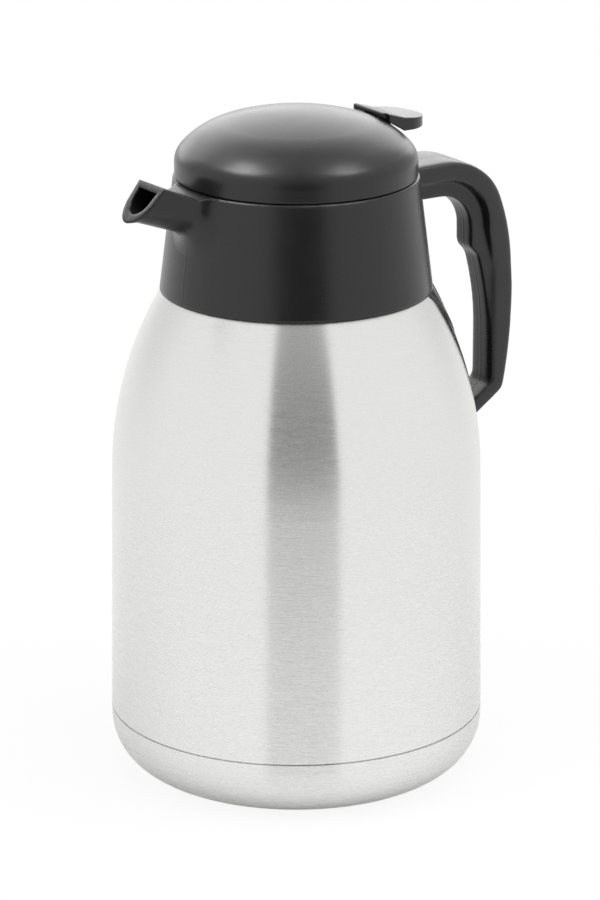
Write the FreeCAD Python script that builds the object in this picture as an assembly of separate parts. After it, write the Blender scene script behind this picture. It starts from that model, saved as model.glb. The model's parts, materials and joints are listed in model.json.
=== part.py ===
import FreeCAD, Part
import math
import os
from FreeCAD import Vector

# Insulated pouring jug with a thumb-lever lid. Millimetres and degrees, +Z up, origin on the jug's axis at the
# plane it stands on, spout towards -X and handle towards +X.

# Flask: double-walled steel body
body_radius = 66.5           # outside, at the seam above the base
body_taper = 1.1             # narrower where the shoulder begins
shoulder_z = 111.6           # height where the shoulder arc begins
shoulder_arc = 132.0         # radius of the shoulder arc, tangent to the body
shoulder_rise = 69.4         # from there to the turn-in to the neck, under the collar
steel_wall = 0.6
vacuum_gap = 6.0             # between the two walls of the body
floor_gap = 5.5              # between the two bottoms
liner_corner = 14.0          # outer corner radius of the liner's bottom
liner_weld_rise = 8.0        # from the liner's underside to the weld of its bottom
neck_step = 11.0             # inside of the steel neck within the collar's rim
neck_gap = 1.4               # vacuum between the two walls of the neck
neck_slope = 30.0            # rise of the turn-in below the neck
neck_fillet = 4.0
neck_rise = 19.0             # from the turn-in to the underside of the rolled rim
rim_overhang = 1.6           # rim beyond the outside of the neck

# Base
base_seam_z = 23.0
base_seam_gap = 0.5          # visible groove between body and base
base_corner = 19.5           # corner radius of the base, down to the foot ring
foot_width = 6.0             # flat ring that it stands on
foot_recess = 2.0            # height of the base's middle above the foot
foot_run = 1.5               # sloping step from the foot to the middle
skin_gap = 0.1               # between the base skin and what it covers
dimple_radius = 8.0
dimple_depth = 1.5
dimple_hole = 2.0
getter_radius = 8.0
getter_height = 3.0
getter_offset = 24.0

# Collar and spout
collar_lap = 3.9             # lower edge below the turn-in to the neck
collar_overhang = 0.9        # collar's lower edge beyond the steel
collar_rise = 17.4           # rim above the flask's own rim
collar_inset = 23.5          # rim within the body's radius
collar_wall = 2.4
rim_edge = 0.6               # rounding of the collar's upper edge
seat_gap = 0.3               # between a moulding and the steel that it sits on
neck_seal_height = 1.4
web_thickness = 2.0
clip_wall = 1.8              # snap skirt that grips under the rolled rim
clip_drop = 2.0              # from the rim down to the hook
clip_hook = 1.6              # height of the hook
clip_slots = 6
clip_slot_width = 1.6
ring_wall = 2.6
ring_depth = 16.0            # length of the ring's tube below its flange
ring_flange = 1.5
ring_flange_width = 3.4
spout_top_out = 16.2         # top edge of the mouth beyond the collar's rim
spout_top_up = 5.0           # and above it
spout_lip_out = 26.2         # lowest point of the mouth beyond the collar's rim
spout_lip_down = 6.2         # and below it
spout_half_width = 8.0       # at the mouth's top edge
spout_dip_out = 3.5          # low crease between the top plate and the rim
spout_dip_down = 0.8
spout_dip_half = 10.0        # half width at the crease
spout_rise = 19.9            # slope of the underside
spout_wall = 2.0
spout_top_wall = 2.6
spout_floor_wall = 2.6
spout_root_fillet = 9.0
lip_flare = 0.9              # drip lip below the underside
lip_length = 3.2

# Handle
handle_drop = 1.7            # top of the handle below the collar's rim
handle_top_half = 11.0       # half width at the arch
handle_taper_in = 4.2        # narrowing of each side towards the grip
handle_grip_half = handle_top_half - handle_taper_in
handle_taper_start = 9.7     # heights of the taper, below the handle's top
handle_taper_end = 43.7
handle_bend = 27.3           # radius of the arch's bend
handle_stand = 23.8          # furthest point beyond the body
handle_swell = 5.7           # and beyond the end of the bend
handle_reach_down = 52.7     # furthest point below the handle's top
handle_heel_in = 3.7         # corner at the lower end, within the furthest point
handle_heel_down = 88.7      # and below the handle's top
handle_foot_slope = 35.4     # slope of the lower arm towards the body
handle_arm = 5.4             # thickness of the lower arm
handle_skin = 2.6            # outer wall of the handle
handle_side_depth = 7.2      # depth of the side faces on the arch
handle_side_in = 8.7         # inner edge of the side faces, within the furthest point
handle_edge = 1.6            # rounding of the outer edges
insert_gap = 0.2
handle_side_wall = 1.5       # of the shell beside the strip
insert_half = handle_grip_half - handle_side_wall - insert_gap
insert_depth = 5.0           # from the handle's outside to the back of the insert
insert_arch_depth = 14.2     # from the handle's top to the underside of the arch
insert_bend_out = 1.8        # start of its bend beyond the arch's
insert_grip_in = 9.7         # inner face of the strip, within the furthest point
hook_down = 33.4             # finger hook below the handle's top
hook_round = 2.6
hook_slope = 43.0
hook_run = 2.9
grip_down = 72.7             # where the strip under the fingers turns straight
strap_half = 11.0
strap_top_half = 15.5        # flare under the collar
strap_flare_down = 17.1      # height of the flare
strap_top_gap = 0.4
strap_top_wall = 1.4
strap_mid_wall = 4.3
strap_low_wall = 6.0
strap_low_down = 16.0        # lower end below the handle's heel
lug_side_wall = 0.9          # of the strip beside the lug, with its gap
lug_half = insert_half - lug_side_wall    # boss on the collar inside the handle's root
lug_length = 13.0
lug_floor = 2.6              # insert below the boss
screw_radius = 1.4
screw_head_radius = 2.6
screw_head = 1.6
screw_length = 9.0
screw_gap = 0.1
lug_screw_out = 8.5          # beyond the collar's rim

# Lid shell
lid_gap = 0.4                # seam between lid and collar
rim_reveal = 0.5             # collar rim that shows outside the lid
dome_wall = 2.2
dome_side = 4.7              # height of the upright wall
dome_corner = 7.85
dome_corner_angle = 42.4
dome_flank = 30.7
dome_flank_angle = 72.8
dome_boss = 3.4

# Stopper
gasket_height = 1.8
gasket_width = 4.4
thread_gap = 0.4             # stopper in the neck ring
stopper_wall = 2.2
stopper_floor = 2.2
stopper_depth = 21.3         # from the flange's underside to the bottom
stopper_flange = 1.7
stopper_flange_width = 5.6
valve_hole = 11.0
seat_width = 1.5
seat_height = 0.8
window_count = 6
pillar_angle = 15.0
pillar_inset = 0.8           # pillars inside the flange's edge
deck_drop = 0.4              # deck's top below the collar's rim
deck_thickness = 2.0
deck_gap = 0.5               # deck inside the collar
deck_rim_height = 3.5
deck_rim_wall = 2.2
deck_rim_gap = 0.2
lid_screw_inset = 3.3        # screws within the flange's edge
lid_screw_count = 3
lid_screw_radius = 1.2
lid_screw_head_radius = 2.0
lid_screw_head = 1.4
lid_screw_length = 15.0
lid_screw_first = 60.0

# Valve
stem_radius = 2.5
stem_gap = 0.08
press_gap = 0.05
plug_radius = 14.0
plug_disc = 2.4
plug_hub_radius = 4.6
plug_hub = 4.0
plug_spigot_radius = 8.8
valve_seal_height = 1.6
guide_radius = 5.6
guide_down = 8.0
guide_up = 3.0
stem_seal_radius = 4.4
stem_seal_height = 1.6
clip_radius = 5.2
clip_height = 2.0
clip_gap = 0.3               # above the lever's fork
stem_tail = 0.5              # stem above its clip
spring_radius = 7.4
spring_wire = 1.0
spring_turns = 6
spring_gap = 0.05

# Lever
lever_throw = 10.5
lever_pivot_in = 9.0         # pivot within the dome's edge
lever_pivot_drop = 5.2       # pivot below the dome's outside
lever_half = 10.5
lever_front = 3.1            # front edge ahead of the pivot
lever_front_half = 9.0       # half width ahead of the step
lever_step = 1.3             # step ahead of the pivot
lever_front_rise = 2.1       # front edge above the dome
lever_plate_slope = 17.4
lever_crease = 5.7           # crease behind the pivot
lever_length = 17.9          # end of the pad behind the pivot
lever_pad_slope = 7.0
lever_pad_edge = 1.8         # thickness of the pad's end
lever_belly_out = 9.5        # deepest point behind the pivot
lever_belly = 4.6            # depth of the lever below its crease
lever_gap = 0.5              # lever above the dome over its travel
lever_edge = 0.7
neck_half = 5.0
neck_ahead = 1.7
neck_behind = 3.0
slot_gap = 0.7
slot_front_gap = 0.7
slot_back_gap = 1.2
hub_radius = 3.7
arm_height = 3.4
fork_gap = 0.6
fork_nose = 2.0              # radius of the rounded nose under the clip
fork_reach = 2.4             # fork beyond the stem's axis
pin_radius = 1.5
pin_gap = 0.06
pin_fit = 0.02
pin_lug = 3.2
pin_lug_reach = 3.6
pin_end = 0.3

# Heights and radii that follow from the sizes above
body_top_radius = body_radius - body_taper
collar_top_radius = body_radius - collar_inset
neck_bore = collar_top_radius - neck_step
shoulder_end_z = shoulder_z + shoulder_rise
neck_rim_z = shoulder_end_z + neck_rise
collar_low_z = shoulder_end_z - collar_lap
collar_top_z = neck_rim_z + collar_rise
spout_top_x = collar_top_radius + spout_top_out
spout_top_z = collar_top_z + spout_top_up
spout_lip_x = collar_top_radius + spout_lip_out
spout_lip_z = collar_top_z - spout_lip_down
spout_dip_x = collar_top_radius + spout_dip_out
spout_dip_z = collar_top_z - spout_dip_down
handle_top_z = collar_top_z - handle_drop
handle_reach = body_radius + handle_stand
handle_reach_z = handle_top_z - handle_reach_down
handle_bend_x = handle_reach - handle_swell - handle_bend
handle_heel_x = handle_reach - handle_heel_in
handle_heel_z = handle_top_z - handle_heel_down
handle_side_x = handle_reach - handle_side_in
handle_taper_top_z = handle_top_z - handle_taper_start
handle_taper_low_z = handle_top_z - handle_taper_end
insert_bend_x = handle_bend_x + insert_bend_out
insert_grip_x = handle_reach - insert_grip_in
hook_z = handle_top_z - hook_down
grip_low_z = handle_top_z - grip_down
strap_flare_z = collar_low_z - strap_flare_down
strap_low_z = handle_heel_z - strap_low_down
lug_screw_x = collar_top_radius + lug_screw_out
neck_radius = neck_bore + steel_wall + neck_gap + steel_wall
rim_radius = neck_radius + rim_overhang
rim_top_z = neck_rim_z + steel_wall
web_low_z = rim_top_z + neck_seal_height
web_top_z = web_low_z + web_thickness
ring_top_z = web_top_z + ring_flange
gasket_top_z = ring_top_z + gasket_height
flange_top_z = gasket_top_z + stopper_flange
deck_top_z = collar_top_z - deck_drop
deck_low_z = deck_top_z - deck_thickness
ring_outer = neck_bore - seat_gap
ring_bore = ring_outer - ring_wall
stopper_radius = ring_bore - thread_gap
stopper_bore = stopper_radius - stopper_wall
stopper_low_z = gasket_top_z - stopper_depth
floor_top_z = stopper_low_z + stopper_floor
seat_top_z = floor_top_z + seat_height
flange_radius = stopper_radius + stopper_flange_width
lid_screw_circle = flange_radius - lid_screw_inset
plug_low_z = seat_top_z + valve_seal_height
plug_top_z = plug_low_z + plug_disc
dome_radius = collar_top_radius - rim_reveal
lever_pivot_x = dome_radius - lever_pivot_in
lever_front_x = lever_pivot_x - lever_front
lever_step_x = lever_pivot_x - lever_step
lever_crease_x = lever_pivot_x + lever_crease
lever_end_x = lever_pivot_x + lever_length
lever_belly_x = lever_pivot_x + lever_belly_out
neck_front_x = lever_pivot_x - neck_ahead
neck_back_x = lever_pivot_x + neck_behind
dome_low_z = collar_top_z + lid_gap
shell_low_z = base_seam_z + base_seam_gap / 2
cap_top_z = base_seam_z - base_seam_gap / 2
cap_inner = body_radius - steel_wall
spigot_radius = cap_inner - skin_gap
foot_radius = body_radius - base_corner
middle_z = foot_recess + steel_wall + skin_gap
bottom_top_z = middle_z + steel_wall
liner_inset = steel_wall + vacuum_gap
liner_low_z = bottom_top_z + floor_gap
liner_weld_z = liner_low_z + liner_weld_rise


def cos(degrees):
    return math.cos(math.radians(degrees))


def sin(degrees):
    return math.sin(math.radians(degrees))


def tan(degrees):
    return math.tan(math.radians(degrees))


def polar(centre, radius, degrees):
    """Point of a circle in the XZ plane."""
    return (centre[0] + radius * cos(degrees), centre[1] + radius * sin(degrees))


def arc(centre, radius, first, last):
    """Step of an outline: an arc about a centre that ends at the angle last."""
    return polar(centre, radius, (first + last) / 2) + polar(centre, radius, last)


def backwards(steps):
    """The same run of lines and arcs from its end to its start."""
    ends = [step[-2:] for step in steps]
    result = [ends[-1]]
    for index in range(len(steps) - 1, 0, -1):
        result.append(steps[index][:-2] + ends[index - 1])
    return result


def outline(steps):
    """Closed face in the XZ plane. A step is (x, z) for a line, or (x, z, x, z) for an arc through a point."""
    edges = []
    here = steps[0]
    for step in list(steps[1:]) + [steps[0]]:
        end = step[-2:]
        start = Vector(here[0], 0, here[1])
        stop = Vector(end[0], 0, end[1])
        if len(step) == 4:
            edges.append(Part.Arc(start, Vector(step[0], 0, step[1]), stop).toShape())
        elif start.distanceToPoint(stop) > 1e-6:
            edges.append(Part.makeLine(start, stop))
        here = end
    return Part.Face(Part.Wire(edges))


def lathe(steps):
    """Solid of revolution about the jug's axis."""
    return outline(steps).revolve(Vector(0, 0, 0), Vector(0, 0, 1), 360)


def slab(steps, half):
    """Outline extruded to both sides of the jug's middle plane."""
    face = outline(steps)
    face.translate(Vector(0, -half, 0))
    return face.extrude(Vector(0, 2 * half, 0))


def tube(outer, inner, low, high):
    """Upright ring."""
    return lathe([(inner, low), (outer, low), (outer, high), (inner, high)])


def rod(radius, low, high, x=0.0, y=0.0):
    """Upright cylinder."""
    return Part.makeCylinder(radius, high - low, Vector(x, y, low))


def cross_rod(radius, half, x, z):
    """Cylinder across the jug's middle plane."""
    return Part.makeCylinder(radius, 2 * half, Vector(x, -half, z), Vector(0, 1, 0))


def block(x_low, x_high, half, z_low, z_high):
    """Box that is centred on the jug's middle plane."""
    return Part.makeBox(x_high - x_low, 2 * half, z_high - z_low, Vector(x_low, -half, z_low))


def around(shape, count, first=0.0):
    """Copies of a shape, evenly spaced about the jug's axis."""
    copies = []
    for index in range(count):
        copy = shape.copy()
        copy.rotate(Vector(0, 0, 0), Vector(0, 0, 1), first + 360.0 * index / count)
        copies.append(copy)
    return copies


# Flask walls

body_lean = math.degrees(math.atan((body_radius - body_top_radius) / (shoulder_z - shell_low_z)))
shoulder_centre = polar((body_top_radius, shoulder_z), shoulder_arc, 180 + body_lean)
shoulder_end = math.degrees(math.asin((shoulder_end_z - shoulder_centre[1]) / shoulder_arc))


def wall_radius(z, inset=0.0):
    """Radius of the body's outside at a height, or of a surface that lies inset below it."""
    if z <= shoulder_z:
        share = (z - shell_low_z) / (shoulder_z - shell_low_z)
        return body_radius + share * (body_top_radius - body_radius) - inset
    rise = z - shoulder_centre[1]
    return shoulder_centre[0] + math.sqrt((shoulder_arc - inset) ** 2 - rise ** 2)


def wall_run(inset, low_z, neck, top_z):
    """Outline of the body from low_z up over the shoulder to the top of the neck."""
    reach = shoulder_arc - inset
    turn = polar(shoulder_centre, reach, shoulder_end)
    corner = (neck, turn[1] + (turn[0] - neck) * tan(neck_slope))
    half_turn = (90 - neck_slope) / 2
    length = neck_fillet * tan(half_turn)
    fillet_centre = (neck + neck_fillet, corner[1] + length)
    blend_start = (corner[0] + length * cos(neck_slope), corner[1] - length * sin(neck_slope))
    return [(wall_radius(low_z, inset), low_z),
            polar(shoulder_centre, reach, body_lean),
            arc(shoulder_centre, reach, body_lean, shoulder_end),
            blend_start,
            arc(fillet_centre, neck_fillet, 270 - neck_slope, 180),
            (neck, top_z)]


def make_outer_shell():
    joggle_z = shell_low_z + steel_wall
    outside = wall_run(0, shell_low_z, neck_radius, neck_rim_z)
    inside = wall_run(steel_wall, joggle_z, neck_radius - steel_wall, neck_rim_z)
    spigot = [(spigot_radius - steel_wall, joggle_z),
              (spigot_radius - steel_wall, base_corner),
              (spigot_radius, base_corner),
              (spigot_radius, shell_low_z)]
    return lathe(outside + backwards(inside) + spigot)


def base_run(inset):
    """Outline of the base from its top edge to its middle, for the skin and for what it covers."""
    corner = (foot_radius, base_corner)
    step_x = foot_radius - foot_width
    return [(body_radius - inset, base_corner),
            arc(corner, base_corner - inset, 0, -90),
            (step_x - inset / 2, inset),
            (step_x - foot_run - inset / 2, foot_recess + inset)]


def make_base_cap():
    skin = [(body_radius, cap_top_z)] + base_run(0) + [(0, foot_recess)]
    lining = [(cap_inner, cap_top_z)] + base_run(steel_wall) + [(0, foot_recess + steel_wall)]
    return lathe(skin + backwards(lining))


def make_shell_bottom():
    inset = steel_wall + skin_gap
    dimple = dimple_radius - dimple_depth
    skin = base_run(inset) + [(dimple_radius, middle_z), (dimple, middle_z + dimple_depth),
                              (dimple_hole, middle_z + dimple_depth)]
    lining = base_run(inset + steel_wall) + [(dimple_radius + steel_wall / 2, bottom_top_z),
                                             (dimple + steel_wall / 2, bottom_top_z + dimple_depth),
                                             (dimple_hole, bottom_top_z + dimple_depth)]
    return lathe(skin + backwards(lining))


def make_vacuum_seal():
    bead = dimple_radius - dimple_depth - skin_gap
    nipple = dimple_hole - skin_gap
    top_z = middle_z + dimple_depth
    return lathe([(0, middle_z), (bead, middle_z), (bead, top_z - skin_gap), (nipple, top_z - skin_gap),
                  (nipple, top_z + steel_wall), (0, top_z + steel_wall)])


def make_getter():
    return rod(getter_radius, bottom_top_z, bottom_top_z + getter_height, getter_offset)


def liner_wall(low, high):
    """Stretch of the liner between two butt welds."""
    neck = neck_bore + steel_wall

    def cup(inset, low_z, corner_radius, neck_wall, top_z):
        side_z = low_z + corner_radius
        centre = (wall_radius(side_z, inset) - corner_radius, side_z)
        return [(0, low_z), (centre[0], low_z),
                arc(centre, corner_radius, -90, 0)] + wall_run(inset, side_z, neck_wall, top_z)[1:]

    outside = cup(liner_inset, liner_low_z, liner_corner, neck, neck_rim_z)
    inside = cup(liner_inset + steel_wall, liner_low_z + steel_wall, liner_corner - steel_wall, neck_bore,
                 rim_top_z)
    rim = [(rim_radius, neck_rim_z), (rim_radius, rim_top_z)]
    return lathe(outside + rim + backwards(inside)).common(rod(body_radius, low, high))


def make_liner_bottom():
    return liner_wall(liner_low_z, liner_weld_z)


def make_inner_liner():
    return liner_wall(liner_weld_z, shoulder_z)


def make_liner_shoulder():
    return liner_wall(shoulder_z, rim_top_z)


# Collar, neck ring and seals

collar_low_radius = wall_radius(collar_low_z) + collar_overhang
collar_lean = (collar_low_radius - collar_top_radius) / (collar_top_z - collar_low_z)
spout_high_z = spout_top_z + spout_root_fillet
spout_far_x = spout_lip_x + 2 * lip_length
root_reach = collar_top_radius / 2


def collar_radius(z):
    """Outside radius of the collar's cone."""
    return collar_low_radius - (z - collar_low_z) * collar_lean


def spout_floor(x, below=0.0):
    """Height of the spout's underside at a distance from the axis."""
    return spout_lip_z - (spout_lip_x - x) * tan(spout_rise) - below


def spout_section(x, half, low_z, high_z):
    """U-shaped section across the spout, open upwards as far as high_z."""
    centre = low_z + half
    points = [Vector(-x, -half, high_z), Vector(-x, -half, centre), Vector(-x, half, centre),
              Vector(-x, half, high_z)]
    bottom = Part.Arc(points[1], Vector(-x, 0, low_z), points[2]).toShape()
    edges = [Part.makeLine(points[0], points[1]), bottom, Part.makeLine(points[2], points[3]),
             Part.makeLine(points[3], points[0])]
    return Part.Wire(edges)


def spout_half(x, wall=0.0):
    """Half width of the spout at a distance from the axis, flaring towards the collar."""
    slope = (spout_dip_half - spout_half_width) / (spout_top_x - spout_dip_x)
    return spout_half_width + (spout_top_x - x) * slope - wall


def spout_horn(wall, floor_wall, root_x):
    """Horn of the spout from root_x to beyond the mouth, wider towards the collar, before its top is cut."""
    wires = []
    for x in (root_x, spout_far_x):
        wires.append(spout_section(x, spout_half(x, wall), spout_floor(x) + floor_wall, spout_high_z))
    return Part.makeLoft(wires, True, True)


def spout_waste():
    """Everything above the rim and the top plate, and in front of the slanted mouth."""
    mouth_lean = (spout_lip_x - spout_top_x) / (spout_top_z - spout_lip_z)
    low_x = spout_top_x + (spout_top_z - collar_low_z) * mouth_lean
    return slab([(-low_x, collar_low_z), (-spout_top_x, spout_top_z), (-spout_dip_x, spout_dip_z),
                 (-collar_top_radius, collar_top_z), (low_x, collar_top_z), (low_x, 2 * collar_top_z),
                 (-low_x, 2 * collar_top_z)], low_x)


def rim_waste():
    """Sliver outside the rounding of the collar's upper edge."""
    low_z = collar_top_z - rim_edge
    low_x = collar_radius(low_z)
    turn_x = collar_top_radius - rim_edge
    return lathe([(low_x, low_z), polar((turn_x, low_z), rim_edge, 45) + (turn_x, collar_top_z),
                  (low_x, collar_top_z)])


def spout_channel(root_x):
    """Inside of the spout, from the room above the web out through the mouth."""
    plate_rise = (spout_top_z - spout_dip_z) / (spout_top_x - spout_dip_x)
    dip_z = spout_dip_z - spout_top_wall
    far_z = dip_z + (spout_far_x - spout_dip_x) * plate_rise
    side = slab([(-root_x, web_top_z), (-root_x, dip_z), (-spout_dip_x, dip_z), (-spout_far_x, far_z),
                 (-spout_far_x, web_top_z)], spout_half(root_x))
    return spout_horn(spout_wall, spout_floor_wall, root_x).common(side)


def drip_lip():
    """Flare under the mouth that lets the last drop fall."""
    start_x = spout_lip_x - lip_length
    end_x = spout_lip_x + lip_length
    wires = []
    for x, flare in ((start_x, 0.0), (end_x, 2 * lip_flare)):
        wires.append(spout_section(x, spout_half(x), spout_floor(x, flare), spout_top_z))
    return Part.makeLoft(wires, True, True)


def make_collar():
    horn_root = collar_top_radius - collar_wall - ring_wall
    horn = spout_horn(0, 0, horn_root).fuse(drip_lip())
    cone_top_z = spout_high_z + spout_root_fillet
    cone = lathe([(0, collar_low_z), (collar_low_radius, collar_low_z),
                  (collar_radius(cone_top_z), cone_top_z), (0, cone_top_z)])
    body = cone.fuse(horn).removeSplitter()
    root = [edge for edge in body.Edges if is_spout_root(edge)]
    body = body.makeFillet(spout_root_fillet, root).cut(spout_waste()).cut(rim_waste())
    flask = lathe([(0, shell_low_z)] + wall_run(-seat_gap, shell_low_z, neck_radius, neck_rim_z)
                  + [(0, neck_rim_z)])
    wall_cos = math.cos(math.atan(collar_lean))
    inner = collar_wall / wall_cos
    below_web = lathe([(0, collar_low_z), (collar_low_radius - inner, collar_low_z),
                       (collar_radius(web_low_z) - inner, web_low_z), (0, web_low_z)])
    above_web = lathe([(0, web_top_z), (collar_radius(web_top_z) - inner, web_top_z),
                       (collar_top_radius - inner, collar_top_z), (0, collar_top_z)])
    body = body.cut(flask).cut(below_web).cut(above_web).cut(spout_channel(horn_root))
    body = body.cut(rod(neck_bore, web_low_z, web_top_z))
    body = body.fuse(snap_skirt()).fuse(handle_lug(0)).removeSplitter()
    return body.cut(lug_screw_hole(-screw_gap))


def is_spout_root(edge):
    """True for the edges where the spout meets the collar's cone."""
    middle = edge.valueAt((edge.FirstParameter + edge.LastParameter) / 2)
    radius = math.hypot(middle.x, middle.y)
    on_cone = abs(radius - collar_radius(middle.z)) < press_gap
    return on_cone and middle.x < -root_reach and collar_low_z + 1 < middle.z < spout_high_z - press_gap


def snap_skirt():
    """Slotted skirt under the web, with a hook below the flask's rolled rim."""
    inner = rim_radius + seat_gap
    outer = inner + clip_wall
    hook_z = neck_rim_z - clip_drop
    skirt = lathe([(inner, web_low_z), (outer, web_low_z), (outer, hook_z - clip_hook),
                   (inner, hook_z - clip_hook), (neck_radius + seat_gap, hook_z), (inner, hook_z + seat_gap)])
    slot = Part.makeBox(outer, clip_slot_width, web_low_z - hook_z + 2 * clip_hook,
                        Vector(0, -clip_slot_width / 2, hook_z - 2 * clip_hook))
    for cut in around(slot, clip_slots, 180.0 / clip_slots):
        skirt = skirt.cut(cut)
    return skirt


def handle_lug(gap):
    """Boss at the back of the collar that the handle's root slides over."""
    low_z = handle_top_z - insert_arch_depth + lug_floor
    high_z = handle_top_z - handle_skin - insert_gap
    root = collar_radius(low_z) - collar_wall / 2
    end = collar_radius(high_z) + lug_length
    return block(root, end + gap, lug_half + gap, low_z - gap, high_z + gap)


def lug_screw_hole(extra):
    """Bore for the screw that holds the handle's root to the collar's boss."""
    low_z = handle_top_z - insert_arch_depth
    return rod(screw_radius + extra + screw_gap, low_z, low_z + screw_head + screw_length, lug_screw_x)


def make_neck_seal():
    return tube(rim_radius - seat_gap, neck_bore + seat_gap, rim_top_z, web_low_z)


def make_neck_ring():
    return lathe([(ring_bore, web_top_z - ring_depth), (ring_outer, web_top_z - ring_depth),
                  (ring_outer, web_top_z), (ring_outer + ring_flange_width, web_top_z),
                  (ring_outer + ring_flange_width, ring_top_z), (ring_bore, ring_top_z)])


# Handle

bend_centre = (handle_bend_x, handle_top_z - handle_bend)
back_fall = bend_centre[1] - handle_reach_z
back_turn = 2 * math.degrees(math.atan(handle_swell / back_fall))
back_arc = handle_bend + back_fall / sin(back_turn)
back_centre = (handle_reach - back_arc, handle_reach_z)
heel_fall = handle_reach_z - handle_heel_z
heel_arc = (heel_fall ** 2 + handle_heel_in ** 2) / (2 * handle_heel_in)
heel_centre = (handle_reach - heel_arc, handle_reach_z)
heel_turn = -math.degrees(math.asin(heel_fall / heel_arc))
root_x = collar_top_radius - collar_wall
foot_end_x = body_top_radius - steel_wall


def handle_run(inset):
    """Outside of the handle from the collar round to its heel, or a line that lies inset below it."""
    return [(root_x, handle_top_z - inset),
            (handle_bend_x, handle_top_z - inset),
            arc(bend_centre, handle_bend - inset, 90, back_turn),
            arc(back_centre, back_arc - inset, back_turn, 0),
            arc(heel_centre, heel_arc - inset, 0, heel_turn)]


def foot_point(x, rise):
    """Point of the lower arm, rise above its underside."""
    return (x, handle_heel_z - (handle_heel_x - x) * tan(handle_foot_slope) + rise / cos(handle_foot_slope))


def side_run():
    """Inner edge of the handle's side faces, from the collar round to the lower arm."""
    depth = handle_bend - handle_side_depth
    return [(root_x, handle_top_z - handle_side_depth),
            (handle_bend_x, handle_top_z - handle_side_depth),
            arc(bend_centre, depth, 90, 0),
            (handle_side_x, handle_taper_low_z),
            foot_point(handle_side_x, handle_arm),
            foot_point(foot_end_x, handle_arm)]


def insert_run():
    """Inner face of the strip under the fingers, with its hook."""
    bend = handle_bend - insert_arch_depth
    centre = (insert_bend_x, handle_top_z - handle_bend)
    hook_x = insert_bend_x + bend
    hook_centre = (hook_x + hook_round, hook_z)
    hook_end = polar(hook_centre, hook_round, 180 + hook_slope)
    grip_start = (hook_end[0] + hook_run, hook_end[1] - hook_run / tan(hook_slope))
    grip_rise = grip_start[1] - grip_low_z
    grip_in = insert_grip_x - grip_start[0]
    grip_arc = (grip_rise ** 2 + grip_in ** 2) / (2 * grip_in)
    grip_turn = math.degrees(math.asin(grip_rise / grip_arc))
    return [(root_x, handle_top_z - insert_arch_depth),
            (insert_bend_x, handle_top_z - insert_arch_depth),
            arc(centre, bend, 90, 0),
            (hook_x, hook_z),
            arc(hook_centre, hook_round, 180, 180 + hook_slope),
            grip_start,
            arc((insert_grip_x - grip_arc, grip_low_z), grip_arc, grip_turn, 0),
            foot_point(insert_grip_x, handle_arm)]


def width_outline():
    """Front view of the handle: full width at the arch, narrower along the grip."""
    steps = [(-handle_grip_half, strap_low_z), (handle_grip_half, strap_low_z),
             (handle_grip_half, handle_taper_low_z), (handle_top_half, handle_taper_top_z),
             (handle_top_half, collar_top_z), (-handle_top_half, collar_top_z),
             (-handle_top_half, handle_taper_top_z), (-handle_grip_half, handle_taper_low_z)]
    wire = Part.makePolygon([Vector(0, y, z) for y, z in steps + steps[:1]])
    return Part.Face(wire).extrude(Vector(2 * handle_reach, 0, 0))


def collar_cone(gap):
    """Outside of the collar, grown by a gap, to trim what meets it."""
    return lathe([(0, collar_low_z), (collar_low_radius + gap, collar_low_z),
                  (collar_top_radius + gap, collar_top_z), (0, collar_top_z)])


def make_handle_shell():
    foot = [foot_point(foot_end_x, 0)]
    shell = slab(handle_run(0) + foot + backwards(side_run()), handle_top_half).common(width_outline())
    rounded = [edge for edge in shell.Edges if is_back_edge(edge)]
    shell = shell.makeFillet(handle_edge, rounded)
    hollow = slab(handle_run(handle_skin) + [(root_x, handle_heel_z)], insert_half + insert_gap)
    shell = shell.cut(hollow.cut(lower_arm(0)))
    shell = shell.cut(collar_cone(insert_gap)).cut(strap_band(insert_gap))
    shell = shell.cut(foot_screw_hole(screw_gap))
    return max(shell.Solids, key=lambda solid: solid.Volume)


def lower_arm(gap):
    """Everything below the upper face of the handle's lower arm, or a gap above it."""
    return slab([foot_point(root_x, handle_arm + gap), foot_point(handle_reach, handle_arm + gap),
                 (handle_reach, 0), (root_x, 0)], handle_top_half)


def is_back_edge(edge):
    """True for the long edges along the handle's outside."""
    middle = edge.valueAt((edge.FirstParameter + edge.LastParameter) / 2)
    if abs(middle.y) < handle_grip_half - press_gap or middle.x < root_x + 1:
        return False
    nearest = min(math.dist((middle.x, middle.z), point) for point in back_points())
    return nearest < handle_edge


def back_points():
    """Points along the handle's outside, a little over a millimetre apart."""
    wire = Part.Wire(outline(handle_run(0)).OuterWire.Edges[:4])
    count = int(wire.Length)
    return [(point.x, point.z) for point in wire.discretize(Number=count)]


def make_handle_insert():
    core = slab(handle_run(insert_depth) + backwards(insert_run()), insert_half).cut(lower_arm(insert_gap))
    core = core.cut(handle_lug(insert_gap)).cut(collar_cone(insert_gap))
    low_z = handle_top_z - insert_arch_depth
    head = rod(screw_head_radius + screw_gap, low_z, low_z + screw_head, lug_screw_x)
    return core.cut(lug_screw_hole(screw_gap)).cut(head)


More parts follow.
